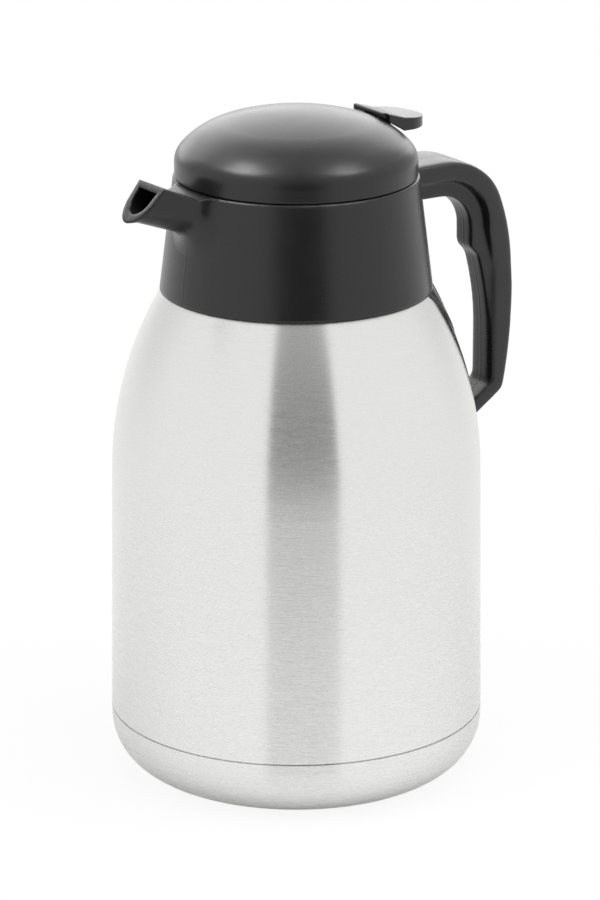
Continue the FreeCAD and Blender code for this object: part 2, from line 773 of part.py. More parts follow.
def strap_band(gap):
    """Ring of the strap's thickness round the flask, grown outwards by a gap."""
    top_z = collar_low_z - strap_top_gap
    mid_z = (top_z + strap_low_z) / 2
    outer = [(wall_radius(z) + wall + gap, z) for z, wall in
             ((strap_low_z - gap, strap_low_wall), (mid_z, strap_mid_wall), (top_z + gap, strap_top_wall))]
    inner = [(wall_radius(strap_low_z - gap) + seat_gap, strap_low_z - gap),
             polar(shoulder_centre, shoulder_arc + seat_gap, body_lean)]
    top_turn = math.degrees(math.asin((top_z + gap - shoulder_centre[1]) / (shoulder_arc + seat_gap)))
    if inner[1][1] <= inner[0][1]:
        low_turn = math.degrees(math.asin((inner[0][1] - shoulder_centre[1]) / (shoulder_arc + seat_gap)))
        inner = [polar(shoulder_centre, shoulder_arc + seat_gap, low_turn)]
    else:
        low_turn = body_lean
    inner.append(arc(shoulder_centre, shoulder_arc + seat_gap, low_turn, top_turn))
    return lathe(inner + [outer[2], outer[1] + outer[0]])


def make_handle_strap():
    sides = [(-strap_half, strap_low_z), (strap_half, strap_low_z), (strap_half, strap_flare_z),
             (strap_top_half, collar_low_z), (-strap_top_half, collar_low_z), (-strap_half, strap_flare_z)]
    wire = Part.makePolygon([Vector(0, y, z) for y, z in sides + sides[:1]])
    front = Part.Face(wire).extrude(Vector(handle_reach, 0, 0))
    strap = strap_band(0).common(front).cut(lower_arm(-handle_arm))
    return strap.cut(foot_screw_hole(screw_gap))


def screw(radius, head_radius, head, length):
    """Pan-head screw, point upwards, with its head's top at the origin."""
    return Part.makeCylinder(head_radius, head).fuse(Part.makeCylinder(radius, head + length)).removeSplitter()


def foot_screw_place():
    """Start and direction of the screw through the strap into the lower arm."""
    slope = handle_foot_slope
    direction = Vector(cos(slope), 0, sin(slope))
    mid_x = wall_radius(strap_low_z) + strap_low_wall
    on_axis = foot_point(mid_x, handle_arm / 2)
    start = Vector(on_axis[0], 0, on_axis[1]) - direction * (strap_low_wall - 0.5 * screw_head)
    return start, direction


def aimed(shape, start, direction):
    """Shape turned from +Z to a direction and moved to its start."""
    shape.Placement = FreeCAD.Placement(start, FreeCAD.Rotation(Vector(0, 0, 1), direction))
    return shape


def foot_screw_hole(gap):
    """Stepped hole for the screw that holds the handle's foot."""
    start, direction = foot_screw_place()
    head = Part.makeCylinder(screw_head_radius + gap, screw_head + strap_low_wall,
                             Vector(0, 0, -strap_low_wall))
    shaft = Part.makeCylinder(screw_radius + gap, screw_head + screw_length + gap)
    return aimed(head.fuse(shaft), start, direction)


def make_handle_screws():
    low_z = handle_top_z - insert_arch_depth
    upper = screw(screw_radius, screw_head_radius, screw_head, screw_length)
    lower = upper.copy()
    upper.translate(Vector(lug_screw_x, 0, low_z))
    start, direction = foot_screw_place()
    return Part.makeCompound([upper, aimed(lower, start, direction)])


# Lid shell

dome_centres = []
dome_radii = []


def set_dome():
    """Centres and radii of the dome's three tangent arcs: corner, flank and crown."""
    corner = (dome_radius - dome_corner, dome_low_z + dome_side)
    flank = polar(corner, dome_corner - dome_flank, dome_corner_angle)
    crown_radius = dome_flank + flank[0] / cos(dome_flank_angle)
    crown = polar(flank, dome_flank - crown_radius, dome_flank_angle)
    dome_centres.extend([corner, flank, crown])
    dome_radii.extend([dome_corner, dome_flank, crown_radius])


def dome_run(inset):
    """Outline of the dome from its lower edge to its top."""
    angles = [0, dome_corner_angle, dome_flank_angle, 90]
    steps = [(dome_radius - inset, dome_low_z), (dome_radius - inset, dome_low_z + dome_side)]
    for index in range(3):
        steps.append(arc(dome_centres[index], dome_radii[index] - inset, angles[index], angles[index + 1]))
    return steps


def dome_height(x):
    """Height of the dome's outside at a distance from its axis."""
    limits = [polar(dome_centres[0], dome_corner, dome_corner_angle)[0],
              polar(dome_centres[1], dome_flank, dome_flank_angle)[0]]
    index = 0 if x > limits[0] else 1 if x > limits[1] else 2
    centre = dome_centres[index]
    return centre[1] + math.sqrt(dome_radii[index] ** 2 - (x - centre[0]) ** 2)


def dome_body(inset):
    """Solid under the dome."""
    return lathe([(0, dome_low_z)] + dome_run(inset))


set_dome()
pivot_z = dome_height(lever_pivot_x) - lever_pivot_drop
fork_top_z = pivot_z + clip_height / 3
clip_low_z = fork_top_z + clip_gap


def make_lid_dome():
    dome = dome_body(0)
    inside = dome_body(dome_wall)
    shell = dome.cut(inside)
    boss = rod(dome_boss, deck_top_z, dome_centres[2][1] + dome_radii[2], lid_screw_circle)
    for copy in around(boss, lid_screw_count, lid_screw_first):
        shell = shell.fuse(copy.common(dome.fuse(rod(dome_radius - dome_wall, deck_top_z, dome_low_z))))
    slot = block(neck_front_x - slot_front_gap, neck_back_x + slot_back_gap, neck_half + slot_gap,
                 pivot_z - hub_radius, dome_centres[2][1] + dome_radii[2])
    shell = shell.cut(slot)
    ears = slab([(lever_pivot_x - pin_lug_reach, pivot_z),
                 arc((lever_pivot_x, pivot_z), pin_lug_reach, 180, 360),
                 (lever_pivot_x + pin_lug_reach, dome_height(lever_pivot_x)),
                 (lever_pivot_x - pin_lug_reach, dome_height(lever_pivot_x))], neck_half + slot_gap + pin_lug)
    ears = ears.cut(block(0, dome_radius, neck_half + slot_gap, dome_low_z, dome_height(0)))
    shell = shell.fuse(ears.common(dome_body(dome_wall / 2))).removeSplitter()
    shell = shell.cut(cross_rod(pin_radius + pin_fit, neck_half + slot_gap + pin_lug, lever_pivot_x, pivot_z))
    hole = rod(lid_screw_radius + screw_gap, deck_top_z, gasket_top_z + lid_screw_head + lid_screw_length,
               lid_screw_circle)
    for copy in around(hole, lid_screw_count, lid_screw_first):
        shell = shell.cut(copy)
    return shell


# Stopper

def make_stopper_body():
    cup = lathe([(valve_hole, stopper_low_z), (stopper_radius, stopper_low_z), (stopper_radius, gasket_top_z),
                 (flange_radius, gasket_top_z), (flange_radius, flange_top_z), (stopper_bore, flange_top_z),
                 (stopper_bore, floor_top_z), (valve_hole + seat_width, floor_top_z),
                 (valve_hole + seat_width / 2, seat_top_z), (valve_hole, seat_top_z)])
    ring = tube(flange_radius - pillar_inset, stopper_radius - pillar_inset, flange_top_z, deck_low_z)
    wedge = ring.common(pillar_sector())
    for copy in around(wedge, window_count, lid_screw_first):
        cup = cup.fuse(copy)
    return drill_lid_screws(cup.removeSplitter())


def pillar_sector():
    """Wedge about the +X direction that a pillar fills."""
    reach = 2 * flange_radius
    half = pillar_angle / 2
    corners = [Vector(0, 0, flange_top_z), Vector(reach * cos(half), -reach * sin(half), flange_top_z),
               Vector(reach * cos(half), reach * sin(half), flange_top_z)]
    face = Part.Face(Part.makePolygon(corners + corners[:1]))
    return face.extrude(Vector(0, 0, deck_low_z - flange_top_z))


def drill_lid_screws(shape):
    """Holes for the lid's screws, with room for their heads above the gasket."""
    top_z = gasket_top_z + lid_screw_head
    head = rod(lid_screw_head_radius + screw_gap, gasket_top_z, top_z, lid_screw_circle)
    shaft = rod(lid_screw_radius + screw_gap, gasket_top_z, top_z + lid_screw_length, lid_screw_circle)
    for copy in around(head.fuse(shaft), lid_screw_count, lid_screw_first):
        shape = shape.cut(copy)
    return shape


def make_lid_screws():
    one = screw(lid_screw_radius, lid_screw_head_radius, lid_screw_head, lid_screw_length)
    one.translate(Vector(lid_screw_circle, 0, gasket_top_z))
    return Part.makeCompound(around(one, lid_screw_count, lid_screw_first))


def make_stopper_deck():
    edge = collar_radius(deck_top_z) - collar_wall - deck_gap
    rim = dome_radius - dome_wall - deck_rim_gap
    bore = stem_radius + stem_gap
    guide_top = deck_top_z + guide_up
    deck = lathe([(bore, deck_low_z - guide_down), (guide_radius, deck_low_z - guide_down),
                  (guide_radius, deck_low_z), (edge, deck_low_z), (edge, deck_top_z), (rim, deck_top_z),
                  (rim, deck_top_z + deck_rim_height), (rim - deck_rim_wall, deck_top_z + deck_rim_height),
                  (rim - deck_rim_wall, deck_top_z), (guide_radius, deck_top_z), (guide_radius, guide_top),
                  (stem_seal_radius + press_gap, guide_top),
                  (stem_seal_radius + press_gap, guide_top - stem_seal_height),
                  (bore, guide_top - stem_seal_height)])
    return drill_lid_screws(deck)


def make_stopper_gasket():
    inner = flange_radius - gasket_width
    return tube(flange_radius, inner, ring_top_z, gasket_top_z)


# Valve

def make_valve_stem():
    return rod(stem_radius, seat_top_z, clip_low_z + clip_height + stem_tail)


def make_valve_plug():
    bore = stem_radius + press_gap
    return lathe([(bore, seat_top_z), (plug_spigot_radius, seat_top_z), (plug_spigot_radius, plug_low_z),
                  (plug_radius, plug_low_z), (plug_radius, plug_top_z), (plug_hub_radius, plug_top_z),
                  (plug_hub_radius, plug_top_z + plug_hub), (bore, plug_top_z + plug_hub)])


def make_valve_seal():
    return tube(plug_radius, plug_spigot_radius + press_gap, seat_top_z, plug_low_z)


def make_stem_clip():
    return tube(clip_radius, stem_radius + press_gap, clip_low_z, clip_low_z + clip_height)


def make_stem_seal():
    top_z = deck_top_z + guide_up
    return tube(stem_seal_radius, stem_radius + stem_gap, top_z - stem_seal_height, top_z)


def biarc(start, start_way, end, end_way):
    """Two tangent arcs between two points with given directions."""
    chord = end - start
    both = start_way + end_way
    spread = 2 * (1 - start_way.dot(end_way))
    along = chord.dot(both)
    reach = (math.sqrt(along ** 2 + spread * chord.dot(chord)) - along) / spread
    middle = (start + start_way * reach + end - end_way * reach) * 0.5
    return [tangent_arc(start, start + start_way * reach, middle),
            tangent_arc(middle, end - end_way * reach, end)]


def tangent_arc(start, corner, end):
    """Arc between two points whose tangents meet at a corner."""
    base = (start + end) * 0.5
    out = corner - base
    half = (end - start).Length / 2
    sagitta = half * math.tan(math.atan2(out.Length, half) / 2)
    out.normalize()
    return Part.Arc(start, base + out * sagitta, end).toShape()


def wound(edge):
    """Round wire surface along an arc."""
    first = edge.FirstParameter
    ring = Part.makeCircle(spring_wire / 2, edge.valueAt(first), edge.tangentAt(first))
    return ring.revolve(edge.Curve.Center, edge.Curve.Axis, math.degrees(edge.LastParameter - first))


def make_valve_spring():
    low_z = plug_top_z + spring_wire / 2 + spring_gap
    high_z = deck_low_z - spring_wire / 2 - spring_gap
    steps = 4 * spring_turns
    rise = (high_z - low_z) / steps
    lead = math.hypot(spring_radius * math.pi / 2, rise)

    def place(index):
        turn = 90.0 * index
        point = Vector(spring_radius * cos(turn), spring_radius * sin(turn), low_z + rise * index)
        way = Vector(-sin(turn) * spring_radius * math.pi / 2, cos(turn) * spring_radius * math.pi / 2, rise)
        return point, way / lead

    faces = []
    for index in (0, steps):
        faces.append(Part.Face(Part.Wire(Part.makeCircle(spring_wire / 2, *place(index)))))
    for index in range(steps):
        faces.extend(wound(edge) for edge in biarc(*place(index), *place(index + 1)))
    shell = Part.makeShell(faces)
    shell.sewShape()
    spring = Part.makeSolid(shell)
    gap = (high_z - low_z) / spring_turns * spring_radius * math.pi / 2 / lead - spring_wire
    print("valve spring, least gap between turns: %.2f mm" % gap)
    return spring


# Lever

def make_lever():
    front_z = dome_height(lever_front_x) + lever_front_rise
    crease_z = front_z - (lever_crease_x - lever_front_x) * tan(lever_plate_slope)
    end_z = crease_z - (lever_end_x - lever_crease_x) * tan(lever_pad_slope)
    belly_z = crease_z - lever_belly
    mid_x = (lever_end_x + lever_belly_x) / 2 + lever_pad_edge / 2
    mid_z = (end_z - lever_pad_edge + belly_z) / 2 - lever_pad_edge / 2
    blank = slab([(lever_front_x, belly_z), (lever_front_x, front_z), (lever_crease_x, crease_z),
                  (lever_end_x, end_z), (lever_end_x, end_z - lever_pad_edge),
                  (mid_x, mid_z, lever_belly_x, belly_z)], lever_half)
    plate = blank.common(lever_plan(belly_z, front_z))
    for angle in (0, -lever_throw):
        cut = dome_body(-lever_gap)
        cut.rotate(Vector(lever_pivot_x, 0, pivot_z), Vector(0, 1, 0), angle)
        plate = plate.cut(cut)
    plate = max(plate.Solids, key=lambda solid: solid.Volume)
    rounded = [edge for edge in plate.Edges if is_lever_edge(edge, front_z, end_z)]
    plate = plate.makeFillet(lever_edge, rounded)
    return plate.fuse(lever_works()).removeSplitter().cut(
        cross_rod(pin_radius + pin_gap, lever_half, lever_pivot_x, pivot_z))


def lever_plan(low_z, high_z):
    """Plan view of the lever: narrower front, parallel sides and a round thumb pad."""
    near = [Vector(lever_front_x, -lever_front_half, low_z), Vector(lever_step_x, -lever_front_half, low_z),
            Vector(lever_step_x, -lever_half, low_z), Vector(lever_crease_x, -lever_half, low_z)]
    far = [Vector(point.x, -point.y, low_z) for point in reversed(near)]
    edges = Part.makePolygon(near).Edges + Part.makePolygon(far + near[:1]).Edges
    edges.insert(len(near) - 1, Part.Arc(near[-1], Vector(lever_end_x, 0, low_z), far[0]).toShape())
    return Part.Face(Part.Wire(edges)).extrude(Vector(0, 0, high_z - low_z))


def is_lever_edge(edge, front_z, end_z):
    """True for the upper outer edges of the lever's plate and pad."""
    middle = edge.valueAt((edge.FirstParameter + edge.LastParameter) / 2)
    if abs(middle.y) > lever_half - press_gap and middle.x > lever_step_x + press_gap:
        return middle.z > end_z + press_gap
    on_front = abs(middle.x - lever_front_x) < press_gap and abs(middle.z - front_z) < press_gap
    on_end = middle.x > lever_end_x - press_gap and abs(middle.z - end_z) < press_gap
    return on_front or on_end


def lever_works():
    """Neck through the dome's slot, hub on the pin, and arm with a fork under the stem's clip."""
    neck = block(neck_front_x, neck_back_x, neck_half, pivot_z, dome_height(neck_front_x))
    hub = cross_rod(hub_radius, neck_half, lever_pivot_x, pivot_z)
    nose_z = fork_top_z - fork_nose
    arm_top = nose_z + fork_nose / 2
    arm = block(-fork_reach, lever_pivot_x, neck_half, arm_top - arm_height, arm_top)
    nose = cross_rod(fork_nose, neck_half, 0, nose_z)
    slot = block(-2 * fork_reach, stem_radius + fork_gap, stem_radius + fork_gap, dome_low_z, dome_height(0))
    return hub.fuse([neck, arm.fuse(nose).cut(slot)])


def make_lever_pin():
    return cross_rod(pin_radius, neck_half + slot_gap + pin_lug - pin_end, lever_pivot_x, pivot_z)


PIECES = {
    "outer_shell": make_outer_shell,
    "base_cap": make_base_cap,
    "shell_bottom": make_shell_bottom,
    "vacuum_seal": make_vacuum_seal,
    "getter": make_getter,
    "liner_bottom": make_liner_bottom,
    "inner_liner": make_inner_liner,
    "liner_shoulder": make_liner_shoulder,
    "collar": make_collar,
    "neck_seal": make_neck_seal,
    "neck_ring": make_neck_ring,
    "handle_shell": make_handle_shell,
    "handle_insert": make_handle_insert,
    "handle_strap": make_handle_strap,
    "handle_screws": make_handle_screws,
    "lid_dome": make_lid_dome,
    "stopper_body": make_stopper_body,
    "stopper_deck": make_stopper_deck,
    "stopper_gasket": make_stopper_gasket,
    "lid_screws": make_lid_screws,
    "valve_stem": make_valve_stem,
    "valve_plug": make_valve_plug,
    "valve_seal": make_valve_seal,
    "valve_spring": make_valve_spring,
    "stem_clip": make_stem_clip,
    "stem_seal": make_stem_seal,
    "lever": make_lever,
    "lever_pin": make_lever_pin,
}

os.makedirs("parts", exist_ok=True)
for name, make in PIECES.items():
    make().exportStep("parts/%s.step" % name)
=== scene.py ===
import json
import logging
import math
from collections.abc import Callable
from dataclasses import dataclass, field
from enum import Enum
from typing import Any, Protocol

import bpy
from mathutils import Euler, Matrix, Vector
from mathutils.bvhtree import BVHTree

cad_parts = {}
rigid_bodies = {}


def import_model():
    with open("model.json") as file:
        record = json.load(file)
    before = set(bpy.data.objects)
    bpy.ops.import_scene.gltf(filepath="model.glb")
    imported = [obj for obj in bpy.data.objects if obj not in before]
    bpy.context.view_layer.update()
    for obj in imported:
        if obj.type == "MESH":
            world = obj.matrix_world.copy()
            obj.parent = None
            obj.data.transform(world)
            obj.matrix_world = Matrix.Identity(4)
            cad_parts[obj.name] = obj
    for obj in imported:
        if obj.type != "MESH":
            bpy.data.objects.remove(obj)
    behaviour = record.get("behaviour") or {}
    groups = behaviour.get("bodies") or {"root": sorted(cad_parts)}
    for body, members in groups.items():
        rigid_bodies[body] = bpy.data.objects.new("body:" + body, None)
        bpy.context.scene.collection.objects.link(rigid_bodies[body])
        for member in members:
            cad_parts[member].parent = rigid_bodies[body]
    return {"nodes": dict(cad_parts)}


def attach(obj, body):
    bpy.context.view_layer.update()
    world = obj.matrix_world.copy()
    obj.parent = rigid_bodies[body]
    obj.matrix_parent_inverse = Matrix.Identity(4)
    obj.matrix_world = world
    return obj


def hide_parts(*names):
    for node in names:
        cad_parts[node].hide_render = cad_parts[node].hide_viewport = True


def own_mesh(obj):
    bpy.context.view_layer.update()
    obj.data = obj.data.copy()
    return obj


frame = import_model()

LOG = logging.getLogger("jug")
MM = 0.001
MERGE = 0.001 * MM
WHITE = (1.0, 1.0, 1.0, 1.0)
Socket = bpy.types.NodeSocket
Node = bpy.types.Node
Tree = bpy.types.NodeTree
Colour = tuple[float, float, float, float]
Span = tuple[float, float]


class Reach(Enum):
    """What a lamp lights."""

    ROOM = "the whole set, without showing in reflections"
    MOULDINGS = "the black mouldings alone, flagged off the steel as with black card"


class Parting(Enum):
    """Where the two halves of a mould met on a moulding."""

    NONE = "none"
    FRONT = "front"
    ALL_ROUND = "all round"


def linear(code: str) -> Colour:
    """Turn an sRGB hex colour into a linear one.

    Args:
        code: Six hex digits, with or without a leading hash.

    Returns:
        Linear red, green, blue and an alpha of one.
    """
    digits = code.lstrip("#")
    parts = [int(digits[i:i + 2], 16) / 255 for i in (0, 2, 4)]
    r, g, b = [c / 12.92 if c <= 0.04045 else ((c + 0.055) / 1.055) ** 2.4 for c in parts]
    return r, g, b, 1.0


def add_node(tree: Tree, kind: str, settings: dict[Any, Any], links: dict[Any, Socket]) -> Node:
    """Add a node, set its sockets and options, and link what feeds it.

    Args:
        tree: Node tree that gets the node.
        kind: Blender's name of the node type.
        settings: Input sockets by name or number, or options by name, with their values.
        links: Input sockets by name or number, with the output that feeds each.

    Returns:
        The new node.
    """
    node = tree.nodes.new(kind)
    options = {k: v for k, v in settings.items() if isinstance(k, str) and hasattr(node, k)}
    for key, value in options.items():
        setattr(node, key, value)
    for key, value in settings.items():
        if key not in options:
            node.inputs[key].default_value = value
    for key, source in links.items():
        tree.links.new(source, node.inputs[key])
    return node


def new_material(name: str) -> tuple[bpy.types.Material, Tree, Node]:
    """Make an empty material with its output node.

    Args:
        name: What the material is and how its surface was made.

    Returns:
        The material, its node tree and its output node.
    """
    material = bpy.data.materials.new(name)
    material.use_nodes = True
    material.node_tree.nodes.clear()
    output = add_node(material.node_tree, "ShaderNodeOutputMaterial", {}, {})
    return material, material.node_tree, output


class Finish(Protocol):
    """A surface that a piece can be given."""

    def material(self) -> bpy.types.Material:
        """Build the finish as a material."""


@dataclass(frozen=True)
class BrushedStainless:
    """Deep-drawn 18/8 stainless steel, brushed round the axis with a fine belt.

    To the eye: pale grey, hair lines that run level round the jug, and reflections drawn out up and down
    across those lines while they stay sharp sideways.
    """

    name: str = "stainless_steel_brushed_round"
    pale: str = "#E8E8E6"
    deep: str = "#E5E5E3"
    roughness: float = 0.27
    roughness_swing: float = 0.025
    stretch: float = 1.0
    stretch_turn: float = 0.25
    # A belt leaves lines about 0.06 mm apart.
    # They are drawn 0.45 mm apart, or the picture would not show them.
    line_pitch: float = 0.45 * MM
    line_length: float = 7.0 * MM
    line_depth: float = 0.0002 * MM
    cloud: float = 55.0 * MM
    cloud_share: float = 0.2
    gloss_span: Span = (0.42, 0.78)

    def material(self) -> bpy.types.Material:
        """Build the brushed metal.

        Returns:
            The material.
        """
        material, tree, output = new_material(self.name)
        place = add_node(tree, "ShaderNodeTexCoord", {}, {}).outputs["Object"]
        axes = add_node(tree, "ShaderNodeSeparateXYZ", {}, {0: place})
        flat = add_node(tree, "ShaderNodeCombineXYZ", {}, {0: axes.outputs[0], 1: axes.outputs[1]})
        out = add_node(tree, "ShaderNodeVectorMath", {"operation": "LENGTH"}, {0: flat.outputs[0]})
        run = add_node(tree, "ShaderNodeMath", {"operation": "ADD"},
                       {0: axes.outputs[2], 1: out.outputs["Value"]})
        along = add_node(tree, "ShaderNodeCombineXYZ", {},
                         {0: axes.outputs[0], 1: axes.outputs[1], 2: run.outputs[0]})
        lay = add_node(tree, "ShaderNodeMapping", {
            "Scale": (1 / self.line_length, 1 / self.line_length, 1 / self.line_pitch)},
            {"Vector": along.outputs[0]})
        lines = add_node(tree, "ShaderNodeTexNoise", {"Scale": 1.0, "Detail": 3.0, "Roughness": 0.6},
                         {"Vector": lay.outputs[0]})
        clouds = add_node(tree, "ShaderNodeTexNoise", {"Scale": 1 / self.cloud, "Detail": 2.0},
                          {"Vector": place})
        tone = add_node(tree, "ShaderNodeMix", {
            "data_type": "RGBA", 6: linear(self.deep), 7: linear(self.pale)},
            {0: lines.outputs["Fac"]})
        mixed = add_node(tree, "ShaderNodeMath", {"operation": "MULTIPLY_ADD", 1: self.cloud_share},
                         {0: clouds.outputs["Fac"], 2: lines.outputs["Fac"]})
        rough = add_node(tree, "ShaderNodeMapRange", {
            "From Min": self.gloss_span[0], "From Max": self.gloss_span[1],
            "To Min": self.roughness - self.roughness_swing,
            "To Max": self.roughness + self.roughness_swing}, {"Value": mixed.outputs[0]})
        bump = add_node(tree, "ShaderNodeBump", {"Strength": 1.0, "Distance": self.line_depth},
                        {"Height": lines.outputs["Fac"]})
        round_axis = add_node(tree, "ShaderNodeTangent", {"direction_type": "RADIAL", "axis": "Z"}, {})
        metal = add_node(tree, "ShaderNodeBsdfPrincipled", {
            "Metallic": 1.0, "Anisotropic": self.stretch, "Anisotropic Rotation": self.stretch_turn},
            {"Base Color": tone.outputs[2], "Roughness": rough.outputs[0],
             "Normal": bump.outputs[0], "Tangent": round_axis.outputs[0]})
        tree.links.new(metal.outputs[0], output.inputs[0])
        return material


@dataclass(frozen=True)
class MouldedPlastic:
    """Injection-moulded polypropylene from a spark-eroded tool.

    To the eye: a soft satin with a very fine even grain, slightly uneven gloss where the melt flowed,
    edges that roll over and catch the light, and a hair-thin raised line where the mould's halves met.
    """

    name: str
    dark: str
    light: str
    roughness: float = 0.30
    roughness_swing: float = 0.05
    ior: float = 1.49
    parting: Parting = Parting.NONE
    # Spark erosion leaves pits of about 0.1 mm.
    # They are drawn 0.6 mm wide, or the picture would not show them.
    grain: float = 0.6 * MM
    grain_depth: float = 0.02 * MM
    grain_share: float = 0.5
    flow: float = 24.0 * MM
    flow_swirl: float = 0.8
    gloss_span: Span = (0.45, 1.05)
    line_half: float = 0.22 * MM
    line_height: float = 0.10 * MM
    edge_round: float = 0.8 * MM
    edge_samples: int = 8

    def material(self) -> bpy.types.Material:
        """Build the moulded plastic.

        Returns:
            The material.
        """
        material, tree, output = new_material(self.name)
        place = add_node(tree, "ShaderNodeTexCoord", {}, {}).outputs["Object"]
        pits = add_node(tree, "ShaderNodeTexNoise", {"Scale": 1 / self.grain, "Detail": 2.0},
                        {"Vector": place})
        flow = add_node(tree, "ShaderNodeTexNoise", {
            "Scale": 1 / self.flow, "Detail": 2.0, "Distortion": self.flow_swirl}, {"Vector": place})
        tone = add_node(tree, "ShaderNodeMix", {
            "data_type": "RGBA", 6: linear(self.dark), 7: linear(self.light)},
            {0: flow.outputs["Fac"]})
        gloss = add_node(tree, "ShaderNodeMath", {"operation": "MULTIPLY_ADD", 1: self.grain_share},
                         {0: pits.outputs["Fac"], 2: flow.outputs["Fac"]})
        rough = add_node(tree, "ShaderNodeMapRange", {
            "From Min": self.gloss_span[0], "From Max": self.gloss_span[1],
            "To Min": self.roughness - self.roughness_swing,
            "To Max": self.roughness + self.roughness_swing}, {"Value": gloss.outputs[0]})
        rolled = add_node(tree, "ShaderNodeBevel", {
            "samples": self.edge_samples, "Radius": self.edge_round}, {})
        bump = add_node(tree, "ShaderNodeBump", {"Strength": 1.0, "Distance": self.grain_depth},
                        {"Height": pits.outputs["Fac"], "Normal": rolled.outputs[0]})
        if self.parting is not Parting.NONE:
            bump = self.seam(tree, place, bump)
        plastic = add_node(tree, "ShaderNodeBsdfPrincipled", {"IOR": self.ior}, {
            "Base Color": tone.outputs[2], "Roughness": rough.outputs[0], "Normal": bump.outputs[0]})
        tree.links.new(plastic.outputs[0], output.inputs[0])
        return material

    def seam(self, tree: Tree, place: Socket, grain: Node) -> Node:
        """Raise the mould's parting line along the plane of symmetry.

        Args:
            tree: Node tree of the material.
            place: Object coordinates.
            grain: Bump node of the grain.

        Returns:
            Bump node that holds the grain and the line.
        """
        axes = add_node(tree, "ShaderNodeSeparateXYZ", {}, {0: place})
        off = add_node(tree, "ShaderNodeMath", {"operation": "ABSOLUTE"}, {0: axes.outputs[1]})
        ridge = add_node(tree, "ShaderNodeMapRange", {
            "interpolation_type": "SMOOTHSTEP",
            "From Min": self.line_half, "From Max": 2 * self.line_half,
            "To Min": 1.0, "To Max": 0.0}, {"Value": off.outputs[0]})
        height = ridge.outputs[0]
        if self.parting is Parting.FRONT:
            side = add_node(tree, "ShaderNodeMath", {"operation": "LESS_THAN", 1: 0.0},
                            {0: axes.outputs[0]})
            height = add_node(tree, "ShaderNodeMath", {"operation": "MULTIPLY"},
                              {0: height, 1: side.outputs[0]}).outputs[0]
        return add_node(tree, "ShaderNodeBump", {"Strength": 1.0, "Distance": self.line_height},
                        {"Height": height, "Normal": grain.outputs[0]})


@dataclass(frozen=True)
class MouldedSilicone:
    """Food-grade silicone rubber, compression-moulded.

    To the eye: milky and matt, light goes a little way in, with a faint cloudiness.
    """

    name: str = "silicone_rubber_moulded"
    pale: str = "#E4E1DA"
    deep: str = "#D2CEC5"
    gloss: Span = (0.48, 0.62)
    ior: float = 1.41
    depth_share: float = 0.15
    depth: float = 1.5 * MM
    cloud: float = 5.0 * MM
    grain: float = 0.5 * MM
    grain_depth: float = 0.01 * MM

    def material(self) -> bpy.types.Material:
        """Build the rubber.

        Returns:
            The material.
        """
        material, tree, output = new_material(self.name)
        place = add_node(tree, "ShaderNodeTexCoord", {}, {}).outputs["Object"]
        clouds = add_node(tree, "ShaderNodeTexNoise", {"Scale": 1 / self.cloud, "Detail": 3.0},
                          {"Vector": place})
        skin = add_node(tree, "ShaderNodeTexNoise", {"Scale": 1 / self.grain}, {"Vector": place})
        tone = add_node(tree, "ShaderNodeMix", {
            "data_type": "RGBA", 6: linear(self.deep), 7: linear(self.pale)},
            {0: clouds.outputs["Fac"]})
        rough = add_node(tree, "ShaderNodeMapRange", {"To Min": self.gloss[0], "To Max": self.gloss[1]},
                         {"Value": skin.outputs["Fac"]})
        bump = add_node(tree, "ShaderNodeBump", {"Strength": 1.0, "Distance": self.grain_depth},
                        {"Height": skin.outputs["Fac"]})
        rubber = add_node(tree, "ShaderNodeBsdfPrincipled", {
            "IOR": self.ior, "Subsurface Weight": self.depth_share, "Subsurface Scale": self.depth},
            {"Base Color": tone.outputs[2], "Roughness": rough.outputs[0], "Normal": bump.outputs[0]})
        tree.links.new(rubber.outputs[0], output.inputs[0])
        return material


@dataclass(frozen=True)
class DrawnMetal:
    """Metal drawn, rolled or turned to size and left as it came, for springs, pins, screws and seals.

    To the eye: bright with short scratches and a slight cloud of handling.
    """

    name: str
    pale: str
    deep: str
    roughness: float = 0.24
    roughness_swing: float = 0.08
    scratch: float = 0.35 * MM
    scratch_stretch: float = 0.12
    scratch_depth: float = 0.004 * MM

    def material(self) -> bpy.types.Material:
        """Build the bright metal.

        Returns:
            The material.
        """
        material, tree, output = new_material(self.name)
        place = add_node(tree, "ShaderNodeTexCoord", {}, {}).outputs["Object"]
        lay = add_node(tree, "ShaderNodeMapping", {
            "Scale": (1 / self.scratch, 1 / self.scratch, self.scratch_stretch / self.scratch)},
            {"Vector": place})
        marks = add_node(tree, "ShaderNodeTexNoise", {"Scale": 1.0, "Detail": 3.0},
                         {"Vector": lay.outputs[0]})
        tone = add_node(tree, "ShaderNodeMix", {
            "data_type": "RGBA", 6: linear(self.deep), 7: linear(self.pale)},
            {0: marks.outputs["Fac"]})
        rough = add_node(tree, "ShaderNodeMapRange", {
            "To Min": self.roughness - self.roughness_swing,
            "To Max": self.roughness + self.roughness_swing}, {"Value": marks.outputs["Fac"]})
        bump = add_node(tree, "ShaderNodeBump", {"Strength": 1.0, "Distance": self.scratch_depth},
                        {"Height": marks.outputs["Fac"]})
        metal = add_node(tree, "ShaderNodeBsdfPrincipled", {"Metallic": 1.0}, {
            "Base Color": tone.outputs[2], "Roughness": rough.outputs[0], "Normal": bump.outputs[0]})
        tree.links.new(metal.outputs[0], output.inputs[0])
        return material


BLACK = {"dark": "#0E0E0F", "light": "#141415"}
# Black for the handle, painted lighter than the other mouldings: painted light standing in for the fill
# light that the grip catches from the left.
PAINTED_LIGHT_BLACK = {"dark": "#151516", "light": "#1C1C1D"}
GREY = {"dark": "#1E1F21", "light": "#2A2B2D"}
TURNED_STEEL = DrawnMetal("stainless_steel_turned", "#D9D9D6", "#BDBDBA")


